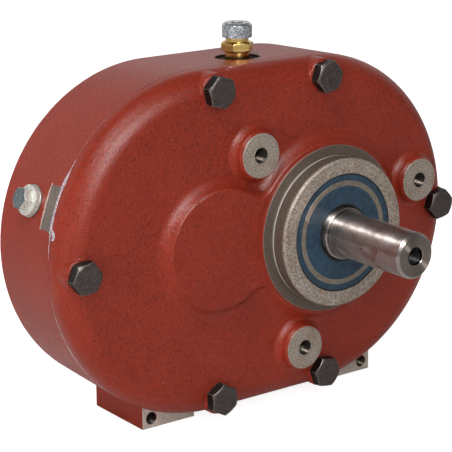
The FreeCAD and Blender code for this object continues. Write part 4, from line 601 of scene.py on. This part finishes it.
ANYWHERE = -1.0
ALONG_Y = (0, 1, 0)
PLUG_END_DEPTH = 1 * MM
plug_top = max(vertex.co.dot(port_out) for vertex in nodes["level_plug"].data.vertices)
shaft_ends = (ALONG_Y, (126, 116, 108), (138, 128, 120), ANYWHERE)
# Bolt heads are painted lighter on their ends and chamfers than on their sides, partly as a painted highlight.
bolt_ends_and_highlight = (ALONG_Y, (64, 55, 52), (92, 82, 77), ANYWHERE)
# Painted shade: the plug's end face is painted darker, as it looks away from the lamps.
plug_end_shade = (port_out, (84, 92, 94), (138, 146, 148), plug_top - PLUG_END_DEPTH)
finishes = {
    "ground_shaft": steel("ground_shaft", (166, 155, 150), (192, 183, 179), 0.33, "along_y", 2200.0, 0.004,
                          0.4, (240, 238, 234), shaft_ends, rounded=False),
    "gear_steel": steel("gear_steel", (150, 150, 152), (176, 176, 178), 0.32, "along_y", 1400.0, 0.02, 0.3),
    "bearing_steel": steel("bearing_steel", (205, 205, 208), (225, 225, 226), 0.12, "along_y", 2600.0, 0.006),
    "black_bolt": steel("black_bolt", (15, 13, 12), (32, 29, 27), 0.42, "cloud", 900.0, 0.12,
                        1.0, (226, 218, 208), bolt_ends_and_highlight, metallic=0.45, edge=0.9),
    "seal_metal": steel("seal_metal", (134, 124, 110), (160, 150, 136), 0.45, "cloud", 600.0, 0.02),
    "spring_steel": steel("spring_steel", (112, 110, 112), (140, 138, 140), 0.35, "cloud", 800.0, 0.01, 0.3),
    "zinc_plate": steel("zinc_plate", (120, 127, 138), (240, 243, 248), 0.2, "cloud", 700.0, 0.05,
                        0.5, (240, 240, 240), metallic=0.8),
    "plug_zinc": steel("plug_zinc", (190, 188, 178), (240, 238, 228), 0.34, "cloud", 800.0, 0.08,
                       0.8, (250, 250, 246), plug_end_shade, metallic=0.3, edge=0.8),
    "soft_washer": steel("soft_washer", (176, 176, 172), (200, 200, 196), 0.4, "cloud", 500.0, 0.02),
    "black_plug": steel("black_plug", (48, 46, 45), (70, 66, 63), 0.42, "cloud", 900.0, 0.05,
                        0.6, (150, 142, 132)),
    "brass": steel("brass", (214, 173, 92), (246, 212, 134), 0.2, "along_z", 1800.0, 0.02,
                   0.6, (255, 240, 200)),
}
print(len(finishes), "metals")

# %% [markdown]
# ## Ground shafts
# The grinding rings of a shaft are far finer than a pixel. They spread a lamp's reflection along the
# shaft, which the shader calls anisotropic, so the shaft shows one clean streak from end to end. Its
# keyway was milled and is darker, and its centre hole is painted black, as shade inside it. Both lie
# nearer to the axis than the ground surface does, so the distance from the nearer shaft's axis finds them.

# %% Keyways, centre holes and streak of the ground shafts
KEYWAY_REACH = 13.6 * MM
CENTRE_HOLE_REACH = 6.0 * MM
END_FACE = 2 * MM
tree = finishes["ground_shaft"].node_tree
shader = tree.nodes["Principled BSDF"]
_, part, front_view = coordinates(tree)
from_axis = maths(tree, "MINIMUM", view_distance(tree, front_view, (0, 0, 0)),
                  view_distance(tree, front_view, (pinion_x, 0, 0)))
drive_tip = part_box("drive_shaft")[0].y
pinion_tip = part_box("pinion_shaft")[1].y
behind_tip = maths(tree, "GREATER_THAN", part["Y"], drive_tip + END_FACE)
before_tip = maths(tree, "LESS_THAN", part["Y"], pinion_tip - END_FACE)
in_keyway = maths(tree, "MULTIPLY", maths(tree, "MULTIPLY", behind_tip, before_tip),
                  maths(tree, "LESS_THAN", from_axis, KEYWAY_REACH))
ground = shader.inputs["Base Color"].links[0].from_socket
ground = blend(tree, in_keyway, ground, paint(78, 71, 67))
# Painted shade: the centre hole and its countersink are painted black.
ground = blend(tree, maths(tree, "LESS_THAN", from_axis, CENTRE_HOLE_REACH), ground, paint(24, 22, 20))
tree.links.new(ground, shader.inputs["Base Color"])
shader.inputs["Anisotropic"].default_value = 0.95
shader.inputs["Anisotropic Rotation"].default_value = 0.25
around = add(tree, "Tangent", direction_type="RADIAL", axis="Y").outputs[0]
tree.links.new(around, shader.inputs["Tangent"])
print("ground shafts:", len(tree.nodes), "nodes")

# %% [markdown]
# ## Rubber, polymer and sealant
# The seal is blue rubber, faintly mottled with dust. The bearing cages are moulded polymer. The
# sealant that squeezed out of the joint is pale, and the paint brush went over some of it.

# %% Finishes of the soft materials
SOFT_RELIEF = 0.06 * MM
THIN_COAT, FULL_COAT = 20 * MM, 60 * MM


def moulded(name, colour, tint, roughness, cloud_scale, painted=0.0):
    """A moulded or spread material with cloudy colour and fine bump, painted over in places."""
    finish, tree, shader = new_finish(name)
    place = add(tree, "TexCoord").outputs["Object"]
    cloud = noise(tree, place, cloud_scale, 4.0, 0.6)
    fine = noise(tree, place, 1600.0, 2.0)
    shade = blend(tree, step(tree, cloud, 0.35, 0.7), paint(*colour), paint(*tint))
    if painted:
        upper = step(tree, add(tree, "SeparateXYZ", {0: place}).outputs["Z"], THIN_COAT, FULL_COAT)
        coats = maths(tree, "MULTIPLY_ADD", upper, 0.22, noise(tree, place, 45.0, 3.0))
        brushed = step(tree, coats, 1.0 - painted, 1.05 - painted)
        shade = blend(tree, brushed, shade, paint(150, 43, 31))
    gloss = fade(tree, cloud, roughness - 0.08, roughness + 0.1)
    apply_surface(tree, shader, shade, gloss, None, fine, SOFT_RELIEF)
    return finish


finishes["seal_rubber"] = moulded("seal_rubber", (22, 50, 70), (38, 74, 96), 0.42, 260.0)
finishes["cage_polymer"] = moulded("cage_polymer", (34, 34, 33), (48, 48, 46), 0.5, 300.0)
finishes["sealant"] = moulded("sealant", (170, 92, 82), (206, 156, 148), 0.6, 300.0, painted=0.66)
finishes["fresh_sealant"] = moulded("fresh_sealant", (150, 122, 132), (234, 230, 238), 0.5, 1100.0)
print(len(finishes), "finishes in all")

# %% [markdown]
# ## Rims and lips of the seals
# A seal is painted nearly black at its rim, as shade in the gap where it goes into the bore, and at its lip, as
# shade round the shaft.
# Both are rings about the seal's axis, and the gearbox has one seal at each end, so a loop reads the
# axis and the two radii from each seal's own mesh.

# %% Dark rims and lips of the seals
SEAL_REACH = 10 * MM
RIM_FROM, RIM_FULL = 1.5 * MM, 0.8 * MM
LIP_FULL, LIP_TO = 1 * MM, 3 * MM
tree = finishes["seal_rubber"].node_tree
shader = tree.nodes["Principled BSDF"]
_, part, front_view = coordinates(tree)
rubber = shader.inputs["Base Color"].links[0].from_socket
for seal in ("front_seal", "rear_seal"):
    seal_low, seal_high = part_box(seal)
    axis = (seal_low + seal_high) / 2
    rim = (seal_high.x - seal_low.x) / 2
    lip = min(math.hypot(v.co.x - axis.x, v.co.z - axis.z) for v in nodes[seal].data.vertices)
    from_axis = view_distance(tree, front_view, (axis.x, 0, axis.z))
    along = maths(tree, "SUBTRACT", part["Y"], axis.y)
    here = maths(tree, "LESS_THAN", maths(tree, "ABSOLUTE", along), SEAL_REACH)
    at_rim = step(tree, from_axis, rim - RIM_FROM, rim - RIM_FULL)
    at_lip = opposite(tree, step(tree, from_axis, lip + LIP_FULL, lip + LIP_TO))
    # Painted shade at the seal's rim and at its lip.
    painted_seal_shade = maths(tree, "MULTIPLY", here, maths(tree, "MAXIMUM", at_rim, at_lip))
    rubber = blend(tree, painted_seal_shade, rubber, paint(14, 18, 22))
    print(seal, "rim", round(rim / MM, 1), "mm, lip", round(lip / MM, 1), "mm")
tree.links.new(rubber, shader.inputs["Base Color"])

# %% [markdown]
# ## Dress the CAD pieces
# The record gives each piece a material slot. Both halves of the casing share a slot but have their
# own version of the enamel, because they are bare in different places. The side plug is zinc as the
# breather's cap is, but duller and yellower.

# %% Give every CAD piece its finish
slots = {entry["node"]: entry["material_slot"] for entry in frame["record"]["subparts"]}
own_finishes = {"front_cover": cover_finish, "housing": housing_finish, "level_plug": finishes["plug_zinc"]}
for name, node in nodes.items():
    finish = own_finishes.get(name) or finishes[slots[name]]
    node.data.materials.clear()
    node.data.materials.append(finish)
print(len(nodes), "pieces dressed")

# %% [markdown]
# ## Screw threads
# The CAD holes are plain, at the core size of their threads. In a picture the thread shows as bright
# ridges on the lit side of a hole. A thread is a small triangle swept along a helix: a three-sided
# circle is turned to point at the axis, moved to the wall, and the Screw modifier sweeps it. The core
# sizes come from the record's mounts.

# %% Threads in the tapped holes
THREAD_DEPTH = 12 * MM
M12_PITCH = 1.75 * MM
M10_PITCH = 1.5 * MM
LEAD_IN = 1.3 * MM
RIDGE_HEIGHT = 0.62
RIDGE_SINK = 0.05 * MM
STEPS_PER_TURN = 28


def thread(name, mouth, inwards, radius, pitch, body, finish):
    """A ridge that winds along a hole parallel to Y, from its mouth. Inwards is 1 along +Y, or -1."""
    bpy.ops.object.select_all(action="DESELECT")
    bpy.ops.mesh.primitive_circle_add(vertices=3, radius=pitch / 2, fill_type="NOTHING")
    ridge = bpy.context.object
    ridge.name = name
    bpy.ops.object.mode_set(mode="EDIT")
    bpy.ops.mesh.select_all(action="SELECT")
    bpy.ops.transform.rotate(value=math.radians(-90), orient_axis="Z", center_override=(0, 0, 0))
    bpy.ops.transform.resize(value=(RIDGE_HEIGHT, 1.0, 1.0), center_override=(pitch / 4, 0, 0))
    bpy.ops.transform.translate(value=(radius - pitch / 4 + RIDGE_SINK, 0, 0))
    bpy.ops.object.mode_set(mode="OBJECT")
    turns = (THREAD_DEPTH - pitch) / pitch
    sweep = ridge.modifiers.new("sweep", "SCREW")
    sweep.axis = "Y"
    sweep.angle = turns * math.tau
    sweep.screw_offset = inwards * turns * pitch
    sweep.steps = int(turns * STEPS_PER_TURN)
    sweep.render_steps = sweep.steps
    bpy.ops.object.modifier_apply(modifier="sweep")
    bpy.ops.object.mode_set(mode="EDIT")
    bpy.ops.mesh.select_all(action="SELECT")
    bpy.ops.mesh.fill_holes(sides=3)
    bpy.ops.mesh.normals_make_consistent(inside=False)
    bpy.ops.object.mode_set(mode="OBJECT")
    ridge.location = mouth + Vector((0, inwards * pitch / 2, 0))
    bpy.ops.object.transform_apply(location=True)
    bpy.ops.object.shade_smooth_by_angle(angle=math.radians(40))
    ridge.data.materials.append(finish)
    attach(ridge, body)
    return ridge


dark_thread = steel("cut_thread", (40, 36, 33), (84, 77, 70), 0.36, "cloud", 500.0, 0.02, 0.4)
# Painted shade: the threads inside the shafts' centre holes are painted nearly black.
oily_thread = steel("oily_thread", (12, 11, 10), (26, 24, 22), 0.4, "cloud", 500.0, 0.02, 0.2, metallic=0.5)
threads = []
for number, centre in enumerate(boss_places, start=1):
    threads.append(thread(f"boss_thread_{number}", centre, 1, boss_core, M12_PITCH,
                          "casing", dark_thread))
for number, centre in enumerate(foot_places, start=1):
    threads.append(thread(f"foot_thread_{number}", centre, 1, foot_core, M10_PITCH,
                          "casing", dark_thread))
drive_core = mounts["drive_shaft_centre"]["dims"]["r_mm"] * MM
pinion_core = mounts["pinion_shaft_centre"]["dims"]["r_mm"] * MM
drive_mouth = Vector((0, drive_tip + LEAD_IN, 0))
pinion_mouth = Vector((pinion_x, pinion_tip - LEAD_IN, 0))
threads.append(thread("drive_end_thread", drive_mouth, 1, drive_core, M12_PITCH,
                      "drive_shaft", oily_thread))
threads.append(thread("pinion_end_thread", pinion_mouth, -1, pinion_core, M10_PITCH,
                      "pinion_shaft", oily_thread))
print(len(threads), "threads,", sum(len(t.data.polygons) for t in threads), "faces")

# %% [markdown]
# ## Bead of sealant
# Beside the milled flat the joint's sealant squeezed out over the edge of the cover's rim. A path curve
# with a radius at each point makes a bead that swells and thins, and lumps from a cloud texture make it
# look pressed out and not drawn. It is turned into a mesh once it has its shape. Its points are given by
# their angle round the pinion shaft, because the bead follows the rim.

# %% Sealant along the joint
RIM_RADIUS_MM = 114
BEAD_RADIUS = 1 * MM
LUMP_SIZE = 0.9 * MM


def rim_point(degrees, forward, out):
    """A place at the casing's rim: the angle round the pinion shaft, and how many millimetres it lies
    forward of the joint and out from the rim."""
    angle = math.radians(degrees)
    reach = (RIM_RADIUS_MM + out) * MM
    return Vector((pinion_x + reach * math.cos(angle), joint_y - forward * MM, reach * math.sin(angle)))


def bead(name, points, lumps):
    """A lumpy bead of sealant that rides on the casing. Each of its points gives an angle, how far it lies
    forward and out, and the bead's radius there as a share of its full radius."""
    bpy.ops.object.select_all(action="DESELECT")
    bpy.ops.curve.primitive_nurbs_path_add()
    piece = bpy.context.object
    piece.name = name
    path = piece.data.splines[0]
    path.points.add(len(points) - len(path.points))
    for point, (degrees, forward, out, radius) in zip(path.points, points):
        point.co = (*rim_point(degrees, forward, out), 1)
        point.radius = radius
    path.use_endpoint_u = True
    path.order_u = 3
    piece.data.bevel_depth = BEAD_RADIUS
    piece.data.bevel_resolution = 4
    piece.data.use_fill_caps = True
    piece.data.resolution_u = 14
    piece.location = (0, 0, 0)
    bpy.ops.object.convert(target="MESH")
    cloud = bpy.data.textures.new(name + "_lumps", "CLOUDS")
    cloud.noise_scale = LUMP_SIZE
    swell = piece.modifiers.new("lumps", "DISPLACE")
    swell.texture = cloud
    swell.texture_coords = "LOCAL"
    swell.strength = lumps
    swell.mid_level = 0.5
    bpy.ops.object.modifier_apply(modifier="lumps")
    bpy.ops.object.shade_smooth()
    piece.data.materials.append(finishes["fresh_sealant"])
    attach(piece, "casing")
    return piece


along_joint = bead("sealant_bead", [
    (143.5, 0.2, -0.1, 0.18), (146, 0.2, 0, 0.28), (148, 0.3, 0, 0.55), (150, 0.5, 0.1, 1.0),
    (151.5, 0.4, 0.1, 1.15), (153.5, 0.1, 0.1, 0.9), (156, 0, 0, 0.8), (159, 0, 0, 0.9),
    (162, 0, 0, 0.8), (164.5, 0, 0, 0.9), (167, 0.1, 0.1, 1.0), (168.6, 0.2, 0, 0.5),
    (170, 0.2, 0, 0.3), (173, 0.2, -0.1, 0.2), (175.5, 0.2, -0.1, 0.12),
], lumps=0.9 * MM)
print("bead:", len(along_joint.data.polygons), "faces")

# %% [markdown]
# ## Curl of sealant
# At its lower end some of it was pushed forward onto the rim, where it curled over and dried. It is a
# second, shorter bead that leaves the joint, runs over the rim and turns down.

# %% Curl of sealant on the rim
curl = bead("sealant_curl", [
    (166.6, 0.3, 0, 0.8), (166.9, 1.8, 0, 1.2), (167.5, 3.4, -0.1, 1.4), (168.3, 4.4, -0.2, 1.3),
    (169.2, 4.0, -0.3, 1.0), (169.5, 2.6, -0.2, 0.6),
], lumps=1.0 * MM)
print("curl:", len(curl.data.polygons), "faces")

# %% [markdown]
# The dressed model has to stay in the CAD model's box.
